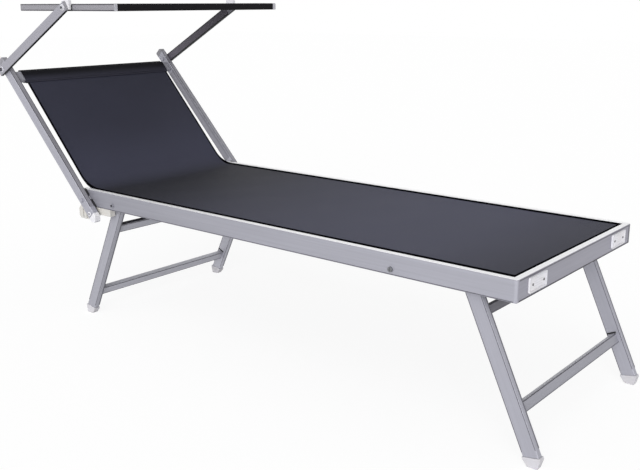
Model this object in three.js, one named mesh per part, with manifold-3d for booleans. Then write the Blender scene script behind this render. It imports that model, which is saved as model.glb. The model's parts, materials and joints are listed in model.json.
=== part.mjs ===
// Folding sun lounger with an adjustable sun canopy, in millimetres, +Z up.
// +X points to the foot end and the sleeper's head lies towards -X.
// An aluminium seat frame stands on two folding leg frames. One fabric sling runs over
// the seat and up the reclining back, which carries the canopy on two swinging arms.

import * as THREE from 'three';
import * as BufferGeometryUtils from 'three/addons/utils/BufferGeometryUtils.js';
import Module from 'manifold-3d';

const wasm = await Module();
wasm.setup();

// Driving dimensions of the whole lounger
const seatWidth = 580;
const seatHeight = 393;
const pivotFromFoot = 1352;
const pivotAboveRailBottom = 20.2;
const backLength = 527;
const reclineAngle = 46.2;
const armAngle = 28.5;

// Clearances
const fitGap = 0.3;
const boltClearance = 0.1;
const cutOverrun = 2;
const mergeDistance = 1e-4;

// Seat frame profile: a tall box section with a step along its top for the sling
const railHeight = 48;
const railWidth = 20;
const railWall = 1.8;
const railEdgeRadius = 1.5;
const railCornerRadius = 8;
const slingStepWidth = 5;
const slingStepDepth = 3.5;
const railHeadOverhang = 28;
const mitreGap = 0.1;
const mitreReach = 60;
const endCapFlange = 2.7;

// Sling fabric
const fabricThickness = 2;
const slingBelowRim = 1;
const slingTubeGap = 25.5;
const bendReach = 37;
const bendRise = 40;
const bendSeatShare = 1 / 3;
const bendSteps = 10;

// Cross tubes of the seat frame
const spreaderDiameter = 16;
const spreaderFromFoot = 296;
const spreaderAboveRailBottom = 13.5;
const headTubeFromPivot = 52;

// Nylon rest blocks under the head ends of the side rails
const blockLength = 145;
const blockHeadOverhang = 54;
const blockThickness = 18;
const blockShallow = 20;
const blockDeep = 42;
const blockHeadRise = 14;
const toothCount = 5;
const toothPitch = 17;
const toothWidth = 6;
const toothDepth = 4;
const toothLineFromHead = 20;
const blockChamfer = 7;

// White plates on the foot rail
const plateLength = 75;
const plateHeight = 32.4;
const plateAboveMiddle = 1.8;
const plateThickness = 3;
const plateRim = 3;
const plateRimHeight = 1.4;
const plateFromSide = 82;
const plateCornerRadius = 3;
const plateScrewRadius = 2.6;
const plateScrewHeight = 1.1;
const plateScrewInset = 13.5;
const plateScrewSteps = 12;

// Backrest
const backTubeDepth = 29;
const backTubeWidth = 17.4;
const tubeWall = 1.6;
const tubeEdgeRadius = 2;
const backTubeGap = 7;
const backTubeTail = 55;
const crossbarDepth = 38;
const crossbarThickness = 16;
const crossbarFromTop = 71;
const hemTubeGap = 22;
const sheetRiseAtBar = 5;
const sheetDropAtBend = 3;
const hemWrap = 2;
const hemSeam = 16;
const capHeight = 15;
const capChamfer = 4;
const plugDepth = 14;
const plugClearance = 0.2;
const shoeLength = 22;
const shoeChamfer = 11;
const shoeScrewFromTail = 7;

// Canopy arms
const armLength = 374.5;
const armDepth = 26.8;
const armThickness = 9;
const armGap = 1.4;
const armPivotFromTop = 37;
const armTopMargin = 9;
const armTailMargin = 17;

// Canopy frame
const canopyArmGap = 9.3;
const canopyLength = 429;
const canopyAheadOfPivot = 199.6;
const canopyRailHeight = 19;
const canopyRailWidth = 10;
const canopyBarWidth = 15;
const canopySleeve = 1.6;
const canopyFabricInset = 2;
const knuckleWidth = 32;
const knuckleAbove = 20;
const knuckleBelow = 6.5;
const knuckleRadius = 3;

// Leg frames
const legRailGap = 2;
const legDepth = 35;
const legThickness = 15;
const legPivotAboveRailBottom = 15;
const legTopMargin = 15;
const footLegFromFoot = 118.3;
const headLegFromPivot = 106;
const footLegLean = 24.9;
const headLegLean = 26;
const footTopBarDepth = 20;
const footLowBarDepth = 24;
const headBarDepth = 26;
const legBarThickness = 14;
const footTopBarReach = 67;
const footLowBarReach = 277;
const headTopBarReach = 87;
const headLowBarReach = 320.5;
const footCapHeight = 21.5;
const footCapWall = 1.5;
const footSoleLength = 22;
const footSoleShift = 5;
const footCutShare = 0.55;
const footSocketDepth = 16;
const footCollar = 5;

// Bolts
const boltRadius = 3;
const boltHeadRadius = 6;
const boltHeadHeight = 3.2;
const boltNutHeight = 4;
const washerRadius = 8.5;
const roundSteps = 20;
const holeSteps = 16;
const nutSides = 6;
const cornerSteps = 3;

// Sizes worked out from the ones above
const halfSeat = seatWidth / 2;
const railBottom = seatHeight - railHeight;
const railInner = halfSeat - railWidth;
const slingTop = seatHeight - slingBelowRim;
const slingBottom = slingTop - fabricThickness;
const slingHalf = railInner + slingStepWidth - fitGap;
const pivotHeight = railBottom + pivotAboveRailBottom;
const backInner = halfSeat + backTubeGap;
const backOuter = backInner + backTubeWidth;
const armInner = backOuter + armGap;
const armOuter = armInner + armThickness;
const canopyHalf = armInner - canopyArmGap;
const backSlingHalf = backInner - slingTubeGap;
const hemHalf = backInner - hemTubeGap;
const plateMiddle = halfSeat - plateFromSide;
const legPivotHeight = railBottom + legPivotAboveRailBottom;
const legOuter = railInner - legRailGap;
const legInner = legOuter - legThickness;
const armPivotReach = backLength - armPivotFromTop;
const crossbarReach = backLength - crossbarFromTop;
const railBoreMiddle = halfSeat - railWidth / 2;
const bendStart = -pivotFromFoot + bendReach * bendSeatShare;
const halfTurn = Math.PI;
const degree = halfTurn / 180;

const colours = {
  aluminium: { color: 0xa9acb5, roughness: 0.42, metalness: 0.85 },
  nylon: { color: 0xf2f2ee, roughness: 0.5, metalness: 0 },
  fabric: { color: 0x2d2e38, roughness: 0.85, metalness: 0 },
  steel: { color: 0x8b8d92, roughness: 0.3, metalness: 1 },
  grey: { color: 0x7d8086, roughness: 0.55, metalness: 0 },
};

// A closed geometry as a solid that can be joined and cut
function toSolid(geometry) {
  const bare = geometry.clone();
  bare.deleteAttribute('normal');
  bare.deleteAttribute('uv');
  const merged = BufferGeometryUtils.mergeVertices(bare, mergeDistance);
  const mesh = new wasm.Mesh({
    numProp: 3,
    vertProperties: new Float32Array(merged.attributes.position.array),
    triVerts: new Uint32Array(merged.index.array),
  });
  return new wasm.Manifold(mesh);
}

// A solid back as a geometry
function toGeometry(solid) {
  const mesh = solid.getMesh();
  const geometry = new THREE.BufferGeometry();
  const points = new Float32Array(mesh.vertProperties);
  geometry.setAttribute('position', new THREE.BufferAttribute(points, 3));
  geometry.setIndex(new THREE.BufferAttribute(new Uint32Array(mesh.triVerts), 1));
  geometry.computeVertexNormals();
  return geometry;
}

function cut(geometry, ...tools) {
  let solid = toSolid(geometry);
  for (const tool of tools) {
    solid = solid.subtract(toSolid(tool));
  }
  return toGeometry(solid);
}

function join(...pieces) {
  let solid = toSolid(pieces[0]);
  for (const piece of pieces.slice(1)) {
    solid = solid.add(toSolid(piece));
  }
  return toGeometry(solid);
}

function keep(geometry, limit) {
  return toGeometry(toSolid(geometry).intersect(toSolid(limit)));
}

function box(x0, x1, y0, y1, z0, z1) {
  const geometry = new THREE.BoxGeometry(x1 - x0, y1 - y0, z1 - z0);
  return geometry.translate((x0 + x1) / 2, (y0 + y1) / 2, (z0 + z1) / 2);
}

// A round bar along Y
function roundAlongY(x, z, radius, y0, y1, steps) {
  const geometry = new THREE.CylinderGeometry(radius, radius, y1 - y0, steps);
  return geometry.translate(x, (y0 + y1) / 2, z);
}

// A round bar along X
function roundAlongX(y, z, radius, x0, x1, steps) {
  const geometry = new THREE.CylinderGeometry(radius, radius, x1 - x0, steps);
  return geometry.rotateZ(halfTurn / 2).translate((x0 + x1) / 2, y, z);
}

// A rectangle with rounded corners, round the given centre
function roundedShape(cx, cy, width, height, radius, Kind = THREE.Shape) {
  const x0 = cx - width / 2;
  const y0 = cy - height / 2;
  const shape = new Kind();
  const quarter = halfTurn / 2;
  shape.moveTo(x0 + radius, y0);
  shape.lineTo(x0 + width - radius, y0);
  shape.absarc(x0 + width - radius, y0 + radius, radius, -quarter, 0, false);
  shape.lineTo(x0 + width, y0 + height - radius);
  shape.absarc(x0 + width - radius, y0 + height - radius, radius, 0, quarter, false);
  shape.lineTo(x0 + radius, y0 + height);
  shape.absarc(x0 + radius, y0 + height - radius, radius, quarter, halfTurn, false);
  shape.lineTo(x0, y0 + radius);
  shape.absarc(x0 + radius, y0 + radius, radius, halfTurn, halfTurn + quarter, false);
  return shape;
}

// A rounded box section with its bore
function tubeShape(width, height, wall, radius) {
  const shape = roundedShape(0, 0, width, height, radius);
  const bore = roundedShape(0, 0, width - 2 * wall, height - 2 * wall, radius / 2, THREE.Path);
  shape.holes.push(bore);
  return shape;
}

// Extrudes a shape drawn in Y and Z along X
function alongX(shape, x0, x1, curveSegments = cornerSteps) {
  const geometry = new THREE.ExtrudeGeometry(shape, {
    depth: x1 - x0, bevelEnabled: false, curveSegments,
  });
  const turn = new THREE.Matrix4().makeBasis(
    new THREE.Vector3(0, 1, 0), new THREE.Vector3(0, 0, 1), new THREE.Vector3(1, 0, 0));
  return geometry.applyMatrix4(turn).translate(x0, 0, 0);
}

// Extrudes a shape drawn in X and Z along Y
function alongY(shape, y0, y1, curveSegments = cornerSteps) {
  const geometry = new THREE.ExtrudeGeometry(shape, {
    depth: y1 - y0, bevelEnabled: false, curveSegments,
  });
  return geometry.rotateX(halfTurn / 2).translate(0, y1, 0);
}

function polygon(points) {
  return new THREE.Shape(points.map(([x, y]) => new THREE.Vector2(x, y)));
}

function addMesh(group, name, geometry, look) {
  const mesh = new THREE.Mesh(geometry, new THREE.MeshStandardMaterial(colours[look]));
  mesh.name = name;
  group.add(mesh);
  return mesh;
}

// The geometry of one side turned into the other side's
function mirrored(geometry) {
  const copy = geometry.index ? geometry.toNonIndexed() : geometry.clone();
  copy.deleteAttribute('normal');
  copy.deleteAttribute('uv');
  copy.scale(1, -1, 1);
  const points = copy.attributes.position;
  for (let i = 0; i < points.count; i += 3) {
    const a = new THREE.Vector3().fromBufferAttribute(points, i);
    const b = new THREE.Vector3().fromBufferAttribute(points, i + 1);
    points.setXYZ(i, b.x, b.y, b.z);
    points.setXYZ(i + 1, a.x, a.y, a.z);
  }
  const merged = BufferGeometryUtils.mergeVertices(copy, mergeDistance);
  merged.computeVertexNormals();
  return merged;
}

// Adds a piece made for the left side, +Y, and its twin on the right
function addPair(group, name, geometry, look) {
  addMesh(group, `${name}_left`, geometry, look);
  addMesh(group, `${name}_right`, mirrored(geometry), look);
}

// A bolt through +Y material: its head outside, its shank inwards and its nut at the end
function bolt(x, z, innerY, outerY, withNut = true) {
  const shank = roundAlongY(x, z, boltRadius, innerY - fitGap, outerY + fitGap + boltHeadHeight / 2,
    holeSteps);
  const headStart = outerY + fitGap;
  const head = roundAlongY(x, z, boltHeadRadius, headStart, headStart + boltHeadHeight, roundSteps);
  if (!withNut) {
    return join(shank, head);
  }
  const nutEnd = innerY - fitGap;
  const nut = roundAlongY(x, z, boltHeadRadius, nutEnd - boltNutHeight, nutEnd,
    nutSides);
  const bolted = join(head, shank, roundAlongY(x, z, boltRadius, nutEnd - boltNutHeight / 2, outerY,
    holeSteps));
  return join(bolted, nut);
}

function boltHole(x, z, y0, y1) {
  return roundAlongY(x, z, boltRadius + boltClearance, y0 - cutOverrun, y1 + cutOverrun, holeSteps);
}

function washer(x, z, y0, y1) {
  const ring = roundAlongY(x, z, washerRadius, y0, y1, roundSteps);
  return cut(ring, boltHole(x, z, y0, y1));
}

// Seat frame

// The rail's section on the +Y side, with the sling step on its inner top edge
function railShape() {
  const stepY = railInner + slingStepWidth;
  const stepZ = seatHeight - slingStepDepth;
  const shape = polygon([
    [railInner, railBottom + railEdgeRadius],
    [railInner + railEdgeRadius, railBottom],
    [halfSeat - railEdgeRadius, railBottom],
    [halfSeat, railBottom + railEdgeRadius],
    [halfSeat, seatHeight - railEdgeRadius],
    [halfSeat - railEdgeRadius, seatHeight],
    [stepY, seatHeight],
    [stepY, stepZ],
    [railInner, stepZ],
  ]);
  const boreHeight = railHeight - slingStepDepth - 2 * railWall;
  const bore = roundedShape(halfSeat - railWidth / 2, railBottom + railWall + boreHeight / 2,
    railWidth - 2 * railWall, boreHeight, railEdgeRadius, THREE.Path);
  shape.holes.push(bore);
  return shape;
}

// The frame's outline from above, with round foot corners
function frameLimit() {
  const shape = roundedShape(-pivotFromFoot, 0, 2 * pivotFromFoot, seatWidth, railCornerRadius);
  const slab = new THREE.ExtrudeGeometry(shape, {
    depth: railHeight + 2 * cutOverrun, bevelEnabled: false, curveSegments: cornerSteps + 1,
  });
  return slab.translate(0, 0, railBottom - cutOverrun);
}

// What lies on one side of the left corner's mitre: the foot rail's or the side rail's
function mitreWedge(shift, onFootSide) {
  const low = [-mitreReach + shift, halfSeat - mitreReach];
  const high = [cutOverrun + shift, halfSeat + cutOverrun];
  const footSide = [[mitreReach, halfSeat + cutOverrun], [mitreReach, halfSeat - mitreReach]];
  const railSide = [[-mitreReach + shift, halfSeat + cutOverrun]];
  const shape = polygon([low, high, ...(onFootSide ? footSide : railSide)]);
  const wedge = new THREE.ExtrudeGeometry(shape, {
    depth: railHeight + 2 * cutOverrun, bevelEnabled: false,
  });
  return wedge.translate(0, 0, railBottom - cutOverrun);
}

const railHead = -pivotFromFoot - railHeadOverhang;
const spreaderZ = railBottom + spreaderAboveRailBottom;
const headLegX = -pivotFromFoot + headLegFromPivot;

function sideRail() {
  const profile = alongX(railShape(), railHead, 0);
  const diagonal = mitreGap / Math.SQRT2;
  const holes = [
    boltHole(-pivotFromFoot, pivotHeight, railInner, halfSeat),
    boltHole(headLegX, legPivotHeight, railInner, halfSeat),
    boltHole(-spreaderFromFoot, spreaderZ, railInner, halfSeat),
    boltHole(-footLegFromFoot, legPivotHeight, railInner, railBoreMiddle - cutOverrun),
  ];
  const shaped = keep(profile, frameLimit());
  return cut(shaped, mitreWedge(-diagonal, true), ...holes);
}

function footRail() {
  const profile = alongX(railShape(), -halfSeat, halfSeat);
  profile.rotateZ(-halfTurn / 2).translate(-halfSeat, 0, 0);
  const diagonal = mitreGap / Math.SQRT2;
  const wedge = mitreWedge(diagonal, false);
  return keep(cut(profile, wedge, mirrored(wedge)), frameLimit());
}

function railEndCap() {
  const top = seatHeight - slingStepDepth;
  const flange = box(railHead - endCapFlange, railHead - fitGap, railInner, halfSeat, railBottom,
    top);
  const inset = railWall + plugClearance;
  const z = (railBottom + top) / 2;
  const height = top - railBottom;
  const plug = roundedShape(railBoreMiddle, z, railWidth - 2 * inset, height - 2 * inset, railEdgeRadius);
  const core = box(railHead - railWall / 2, railHead + plugDepth + cutOverrun,
    railInner + 2 * inset, halfSeat - 2 * inset, railBottom + 2 * inset, top - 2 * inset);
  return cut(join(flange, alongX(plug, railHead - railWall, railHead + plugDepth)), core);
}

function restBlock() {
  const x1 = -pivotFromFoot + blockLength - blockHeadOverhang;
  const x0 = -pivotFromFoot - blockHeadOverhang;
  const top = railBottom;
  const mid = (x0 + x1) / 2;
  const shape = polygon([
    [x0, top - blockHeadRise],
    [x0, top - blockDeep + blockChamfer],
    [x0 + blockChamfer, top - blockDeep],
    [mid - blockHeadRise, top - blockDeep],
    [mid + blockHeadRise, top - blockShallow],
    [x1, top - blockShallow],
    [x1, top],
    [x0 + blockHeadRise, top],
  ]);
  const y1 = halfSeat - railEdgeRadius;
  const body = alongY(shape, y1 - blockThickness, y1);
  const teeth = [];
  for (let i = 0; i < toothCount; i += 1) {
    const x = x0 + toothLineFromHead + i * toothPitch;
    teeth.push(box(x - toothWidth / 2, x + toothWidth / 2, y1 - toothDepth, y1 + cutOverrun,
      top - blockDeep - cutOverrun, top - blockHeadRise));
  }
  return cut(body, ...teeth);
}

function crossTube(x, z, diameter, endGap) {
  const half = railInner - endGap;
  const tube = roundAlongY(x, z, diameter / 2, -half, half, roundSteps);
  const bore = roundAlongY(x, z, diameter / 2 - tubeWall, -half - cutOverrun, half + cutOverrun,
    holeSteps);
  return cut(tube, bore);
}

function spreaderScrew() {
  const reach = spreaderDiameter;
  const shank = roundAlongY(-spreaderFromFoot, spreaderZ, boltRadius, railInner - reach,
    halfSeat + boltHeadHeight / 2, holeSteps);
  const head = roundAlongY(-spreaderFromFoot, spreaderZ, boltHeadRadius, halfSeat + fitGap,
    halfSeat + fitGap + boltHeadHeight, roundSteps);
  const core = spreaderDiameter / 2 - tubeWall - plugClearance;
  const insert = roundAlongY(-spreaderFromFoot, spreaderZ, core, railInner - reach,
    railInner - fitGap * 2, holeSteps);
  return join(join(shank, head), insert);
}

function footPlate() {
  const z = railBottom + railHeight / 2 + plateAboveMiddle;
  const outline = roundedShape(plateMiddle, z, plateLength, plateHeight, plateCornerRadius);
  const plate = alongX(outline, fitGap, fitGap + plateThickness);
  const rim = roundedShape(plateMiddle, z, plateLength, plateHeight, plateCornerRadius);
  rim.holes.push(roundedShape(plateMiddle, z, plateLength - 2 * plateRim,
    plateHeight - 2 * plateRim, plateCornerRadius, THREE.Path));
  const raised = alongX(rim, fitGap + plateThickness / 2, fitGap + plateThickness + plateRimHeight);
  let whole = join(plate, raised);
  for (const side of [-1, 1]) {
    const y = plateMiddle + side * (plateLength / 2 - plateScrewInset);
    whole = join(whole, roundAlongX(y, z, plateScrewRadius, fitGap + plateThickness / 2,
      fitGap + plateThickness + plateScrewHeight, plateScrewSteps));
  }
  return whole;
}

// The seat part of the sling: a flat sheet that lies in the rails' steps
function seatSling() {
  const footEdge = -railWidth + slingStepWidth - fitGap;
  return box(bendStart, footEdge, -slingHalf, slingHalf, slingBottom, slingTop);
}

// The free bend of the sling between the seat and the back
function slingBend() {
  const start = new THREE.Vector2(bendStart - fitGap, 0);
  const angle = reclineAngle * degree;
  const rise = bendRise + bendReach - fitGap;
  const end = new THREE.Vector2(
    -pivotFromFoot - rise * Math.cos(angle) - sheetDropAtBend * Math.sin(angle),
    pivotHeight + rise * Math.sin(angle) - sheetDropAtBend * Math.cos(angle));
  const middle = slingBottom + fabricThickness / 2;
  start.y = middle;
  const cornerShare = (middle - pivotHeight) / Math.sin(angle);
  const corner = new THREE.Vector2(-pivotFromFoot - cornerShare * Math.cos(angle), middle);
  const curve = new THREE.QuadraticBezierCurve(start, corner, end);
  const upper = [];
  const lower = [];
  for (let i = 0; i <= bendSteps; i += 1) {
    const share = i / bendSteps;
    const point = curve.getPoint(share);
    const along = curve.getTangent(share);
    const offset = fabricThickness / 2;
    upper.push([point.x + along.y * offset, point.y - along.x * offset]);
    lower.push([point.x - along.y * offset, point.y + along.x * offset]);
  }
  const half = Math.min(slingHalf, backSlingHalf);
  return alongY(polygon([...lower, ...upper.reverse()]), -half, half);
}

function buildSeat(group) {
  addPair(group, 'side_rail', sideRail(), 'aluminium');
  addMesh(group, 'foot_rail', footRail(), 'aluminium');
  addPair(group, 'rail_end_cap', railEndCap(), 'grey');
  addPair(group, 'foot_plate', footPlate(), 'nylon');
  addMesh(group, 'head_cross_tube', crossTube(-pivotFromFoot + headTubeFromPivot, pivotHeight,
    spreaderDiameter, 0), 'aluminium');
  addMesh(group, 'seat_spreader_tube', crossTube(-spreaderFromFoot, spreaderZ, spreaderDiameter, 0),
    'aluminium');
  addPair(group, 'spreader_screw', spreaderScrew(), 'steel');
  addPair(group, 'rest_block', restBlock(), 'nylon');
  addPair(group, 'head_leg_bolt', bolt(headLegX, legPivotHeight, legInner, halfSeat), 'steel');
  addPair(group, 'foot_leg_pin', legPin(), 'steel');
  addPair(group, 'back_pivot_bolt', bolt(-pivotFromFoot, pivotHeight, railInner, backOuter),
    'steel');
  addPair(group, 'back_pivot_washer', washer(-pivotFromFoot, pivotHeight, halfSeat + fitGap,
    backInner - fitGap), 'nylon');
  addMesh(group, 'seat_sling', seatSling(), 'fabric');
  addMesh(group, 'sling_bend', slingBend(), 'fabric');
}

// The foot legs turn on flush pins, with no head on the rail
function legPin() {
  const pin = roundAlongY(-footLegFromFoot, legPivotHeight, boltRadius,
    legInner - fitGap - boltNutHeight / 2, railBoreMiddle - fitGap, holeSteps);
  const nutEnd = legInner - fitGap;
  const nut = roundAlongY(-footLegFromFoot, legPivotHeight, boltHeadRadius, nutEnd - boltNutHeight,
    nutEnd, nutSides);
  return join(pin, nut);
}

// Backrest, modelled lying flat along -X from its pivot at the origin

function backTube() {
  const shape = tubeShape(backTubeWidth, backTubeDepth, tubeWall, tubeEdgeRadius);
  const tube = alongX(shape, -backLength + capHeight, backTubeTail);
  tube.translate(0, backInner + backTubeWidth / 2, 0);
  return cut(tube, boltHole(0, 0, backInner, backOuter),
    boltHole(-armPivotReach, 0, backInner, backOuter));
}

// A plug in a tube's end with a chamfered cap over it, pointing along -X
function endCap(width, depth, height, slope, plug) {
  const shape = roundedShape(0, 0, width, depth, tubeEdgeRadius);
  const cap = alongX(shape, -height, -fitGap);
  const wedge = polygon([[-height - cutOverrun, depth / 2 + cutOverrun], [-height - cutOverrun,
    depth / 2 - slope - cutOverrun], [-height + slope + cutOverrun, depth / 2 + cutOverrun]]);
  const lower = polygon([[-height - cutOverrun, -depth / 2 - cutOverrun],
    [-height + slope + cutOverrun, -depth / 2 - cutOverrun],
    [-height - cutOverrun, -depth / 2 + slope + cutOverrun]]);
  const inset = tubeWall + plugClearance;
  const core = alongX(roundedShape(0, 0, width - 2 * inset, depth - 2 * inset, tubeEdgeRadius / 2),
    -height / 2, plug);
  const chamfered = cut(cap, alongY(wedge, -width, width), alongY(lower, -width, width));
  return join(chamfered, core);
}

function topCap() {
  const cap = endCap(backTubeWidth, backTubeDepth, capHeight, capChamfer, plugDepth);
  return cap.translate(-backLength + capHeight, backInner + backTubeWidth / 2, 0);
}

// The nylon shoe in the tube's lower end, with its screw's cup on the outside
function backShoe() {
  const shoe = endCap(backTubeWidth, backTubeDepth, shoeLength, shoeChamfer, plugDepth);
  shoe.rotateZ(halfTurn);
  const cup = roundAlongY(0, 0, boltHeadRadius, backTubeWidth / 2 + fitGap,
    backTubeWidth / 2 + boltHeadHeight, roundSteps);
  cup.translate(-shoeScrewFromTail, 0, 0);
  const stem = roundAlongY(-shoeScrewFromTail, 0, boltRadius, 0, backTubeWidth / 2 + boltHeadHeight / 2,
    holeSteps);
  const whole = join(join(shoe, stem), cup);
  return whole.translate(backTubeTail, backInner + backTubeWidth / 2, 0);
}

function shoeScrewHole() {
  return boltHole(backTubeTail - shoeScrewFromTail, 0, backOuter - tubeWall - cutOverrun, backOuter);
}

// The flat oval bar at the top, which the hem wraps
function ovalShape(depth, thickness, Kind = THREE.Shape) {
  return roundedShape(-crossbarReach, 0, depth, thickness, thickness / 2 - fitGap, Kind);
}

function crossbar() {
  const shape = ovalShape(crossbarDepth, crossbarThickness);
  shape.holes.push(ovalShape(crossbarDepth - 2 * tubeWall, crossbarThickness - 2 * tubeWall,
    THREE.Path));
  const half = backInner - fitGap;
  return alongY(shape, -half, half);
}

// The back part of the sling: a sheet and the hem that wraps the top bar
function backSling() {
  const start = -(bendRise + bendReach);
  const sheetEnd = -crossbarReach;
  const above = fabricThickness / 2;
  const hemStart = -crossbarReach + crossbarDepth / 2;
  const half = backSlingHalf;
  const sheet = alongY(polygon([
    [sheetEnd, sheetRiseAtBar - above],
    [start, -sheetDropAtBend - above],
    [start, -sheetDropAtBend + above],
    [sheetEnd, sheetRiseAtBar + above],
  ]), -half, half);
  const wrap = 2 * (fitGap + hemWrap);
  const hem = alongY(ovalShape(crossbarDepth + wrap, crossbarThickness + wrap), -hemHalf, hemHalf);
  const core = alongY(ovalShape(crossbarDepth + 2 * fitGap, crossbarThickness + 2 * fitGap),
    -hemHalf - cutOverrun, hemHalf + cutOverrun);
  const seam = box(hemStart, hemStart + hemSeam, -half, half, sheetRiseAtBar - fabricThickness,
    sheetRiseAtBar + fabricThickness);
  return cut(join(join(sheet, hem), seam), core);
}

function buildBack(group) {
  addPair(group, 'back_tube', cut(backTube(), shoeScrewHole()), 'aluminium');
  addPair(group, 'back_top_cap', topCap(), 'grey');
  addPair(group, 'back_shoe', backShoe(), 'nylon');
  addMesh(group, 'back_crossbar', crossbar(), 'aluminium');
  addMesh(group, 'back_sling', backSling(), 'fabric');
  addPair(group, 'arm_bolt', bolt(-armPivotReach, 0, backInner, armOuter), 'steel');
  addPair(group, 'arm_washer', washer(-armPivotReach, 0, backOuter + fitGap, armInner - fitGap),
    'nylon');
}

// Canopy arms, modelled along +X from their pivot at the origin

function canopyArm() {
  const shape = tubeShape(armThickness, armDepth, tubeWall, tubeEdgeRadius);
  const arm = alongX(shape, -armTailMargin, armLength + armTopMargin);
  arm.translate(0, armInner + armThickness / 2, 0);
  return cut(arm, boltHole(0, 0, armInner, armOuter), boltHole(armLength, 0, armInner, armOuter));
}

function buildArms(group) {
  addPair(group, 'canopy_arm', canopyArm(), 'aluminium');
  addPair(group, 'canopy_bolt', bolt(armLength, 0, canopyHalf - canopyRailWidth, armOuter),
    'steel');
}

// Canopy frame, modelled level round its pivot at the origin

// The nylon spacer between the side rail and the arm, which stands up above the rail
function knuckle() {
  const height = knuckleAbove + knuckleBelow;
  const shape = roundedShape(0, knuckleAbove - height / 2, knuckleWidth, height, knuckleRadius);
  const y0 = canopyHalf + fitGap;
  const y1 = armInner - fitGap;
  return cut(alongY(shape, y0, y1), boltHole(0, 0, y0, y1));
}

function canopySideRail() {
  const shape = tubeShape(canopyRailWidth, canopyRailHeight, tubeWall, tubeEdgeRadius);
  const rail = alongX(shape, canopyAheadOfPivot - canopyLength, canopyAheadOfPivot);
  rail.translate(0, canopyHalf - canopyRailWidth / 2, 0);
  return cut(rail, boltHole(0, 0, canopyHalf - canopyRailWidth, canopyHalf));
}

const canopyBarHeight = canopyRailHeight - 2 * canopySleeve;

function canopyBarX(end) {
  const inset = canopyBarWidth / 2 + canopySleeve + fitGap;
  return end > 0 ? canopyAheadOfPivot - inset : canopyAheadOfPivot - canopyLength + inset;
}

function canopyBarShape(end, grow, Kind = THREE.Shape) {
  return roundedShape(canopyBarX(end), 0, canopyBarWidth + 2 * grow, canopyBarHeight + 2 * grow,
    tubeEdgeRadius, Kind);
}

function canopyBar(end) {
  const shape = canopyBarShape(end, 0);
  shape.holes.push(canopyBarShape(end, -tubeWall, THREE.Path));
  const half = canopyHalf - canopyRailWidth - fitGap;
  return alongY(shape, -half, half);
}

// The canopy's sheet, with a sleeve round each cross bar
function canopyFabric() {
  const half = canopyHalf - canopyRailWidth - canopyFabricInset;
  const top = canopyRailHeight / 2;
  const sheet = box(canopyBarX(-1), canopyBarX(1), -half, half, top - fabricThickness, top);
  const pieces = [sheet];
  const cores = [];
  for (const end of [-1, 1]) {
    pieces.push(alongY(canopyBarShape(end, canopySleeve), -half, half));
    cores.push(alongY(canopyBarShape(end, fitGap), -half - cutOverrun, half + cutOverrun));
  }
  return cut(join(...pieces), ...cores);
}

function buildCanopy(group) {
  addPair(group, 'canopy_side_rail', canopySideRail(), 'aluminium');
  addPair(group, 'canopy_knuckle', knuckle(), 'nylon');
  addMesh(group, 'canopy_front_bar', canopyBar(1), 'aluminium');
  addMesh(group, 'canopy_rear_bar', canopyBar(-1), 'aluminium');
  addMesh(group, 'canopy_fabric', canopyFabric(), 'fabric');
}

// Leg frames, modelled along +X from their pivot at the origin

function legLength(lean) {
  return (legPivotHeight - footCapHeight) / Math.cos(lean * degree);
}

// How far down the leg its slanted end runs for each millimetre across it
function endSlope(lean, side) {
  return side * footCutShare * Math.tan(lean * degree);
}

function leg(lean, side) {
  const shape = tubeShape(legThickness, legDepth, tubeWall, tubeEdgeRadius);
  const length = legLength(lean);
  const slant = endSlope(lean, side) * legDepth;
  const tube = alongX(shape, -legTopMargin, length + legDepth);
  tube.translate(0, legOuter - legThickness / 2, 0);
  const beyond = polygon([
    [length - slant, -legDepth],
    [length + 2 * legDepth, -legDepth],
    [length + 2 * legDepth, legDepth],
    [length + slant, legDepth],
  ]);
  return cut(tube, alongY(beyond, legInner - cutOverrun, legOuter + cutOverrun),
    boltHole(0, 0, legInner, legOuter));
}

// A cross bar between the two legs
function legBar(reach, depth) {
  const shape = roundedShape(reach, 0, depth, legBarThickness, tubeEdgeRadius);
  shape.holes.push(roundedShape(reach, 0, depth - 2 * tubeWall, legBarThickness - 2 * tubeWall,
    tubeEdgeRadius / 2, THREE.Path));
  return alongY(shape, -legInner, legInner);
}

// The nylon foot: a plug in the leg, a collar, and a wedge down to its flat sole
function foot(lean, side) {
  const length = legLength(lean);
  const angle = lean * degree;
  const floor = legPivotHeight;
  const down = new THREE.Vector2(Math.cos(angle), -side * Math.sin(angle));
  const level = new THREE.Vector2(side * Math.sin(angle), Math.cos(angle));
  const sole = down.clone().multiplyScalar(floor);
  const axis = side * (floor * Math.tan(angle) - footSoleShift);
  const centre = sole.clone().addScaledVector(level, axis);
  const a = centre.clone().addScaledVector(level, -footSoleLength / 2);
  const b = centre.clone().addScaledVector(level, footSoleLength / 2);
  const half = legDepth / 2 + footCapWall;
  const slant = endSlope(lean, side) * half;
  const low = length + fitGap - slant;
  const high = length + fitGap + slant;
  const outline = polygon([
    [low, -half],
    [low + footCollar, -half],
    [a.x, a.y],
    [b.x, b.y],
    [high + footCollar, half],
    [high, half],
  ]);
  const y0 = legInner - footCapWall;
  const y1 = legOuter + footCapWall;
  const inset = tubeWall + plugClearance;
  const plug = alongX(roundedShape(legOuter - legThickness / 2, 0, legThickness - 2 * inset,
    legDepth - 2 * inset, tubeEdgeRadius / 2), length - footSocketDepth, length + footCollar);
  return join(alongY(outline, y0, y1), plug);
}

function buildLegs(group, name, lean, side, topBar, lowBar) {
  addPair(group, `${name}_leg`, leg(lean, side), 'aluminium');
  addMesh(group, `${name}_leg_top_bar`, legBar(...topBar), 'aluminium');
  addMesh(group, `${name}_leg_low_bar`, legBar(...lowBar), 'aluminium');
  addPair(group, `${name}_foot`, foot(lean, side), 'nylon');
}

// The whole lounger, each moving frame in a group of its own

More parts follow.
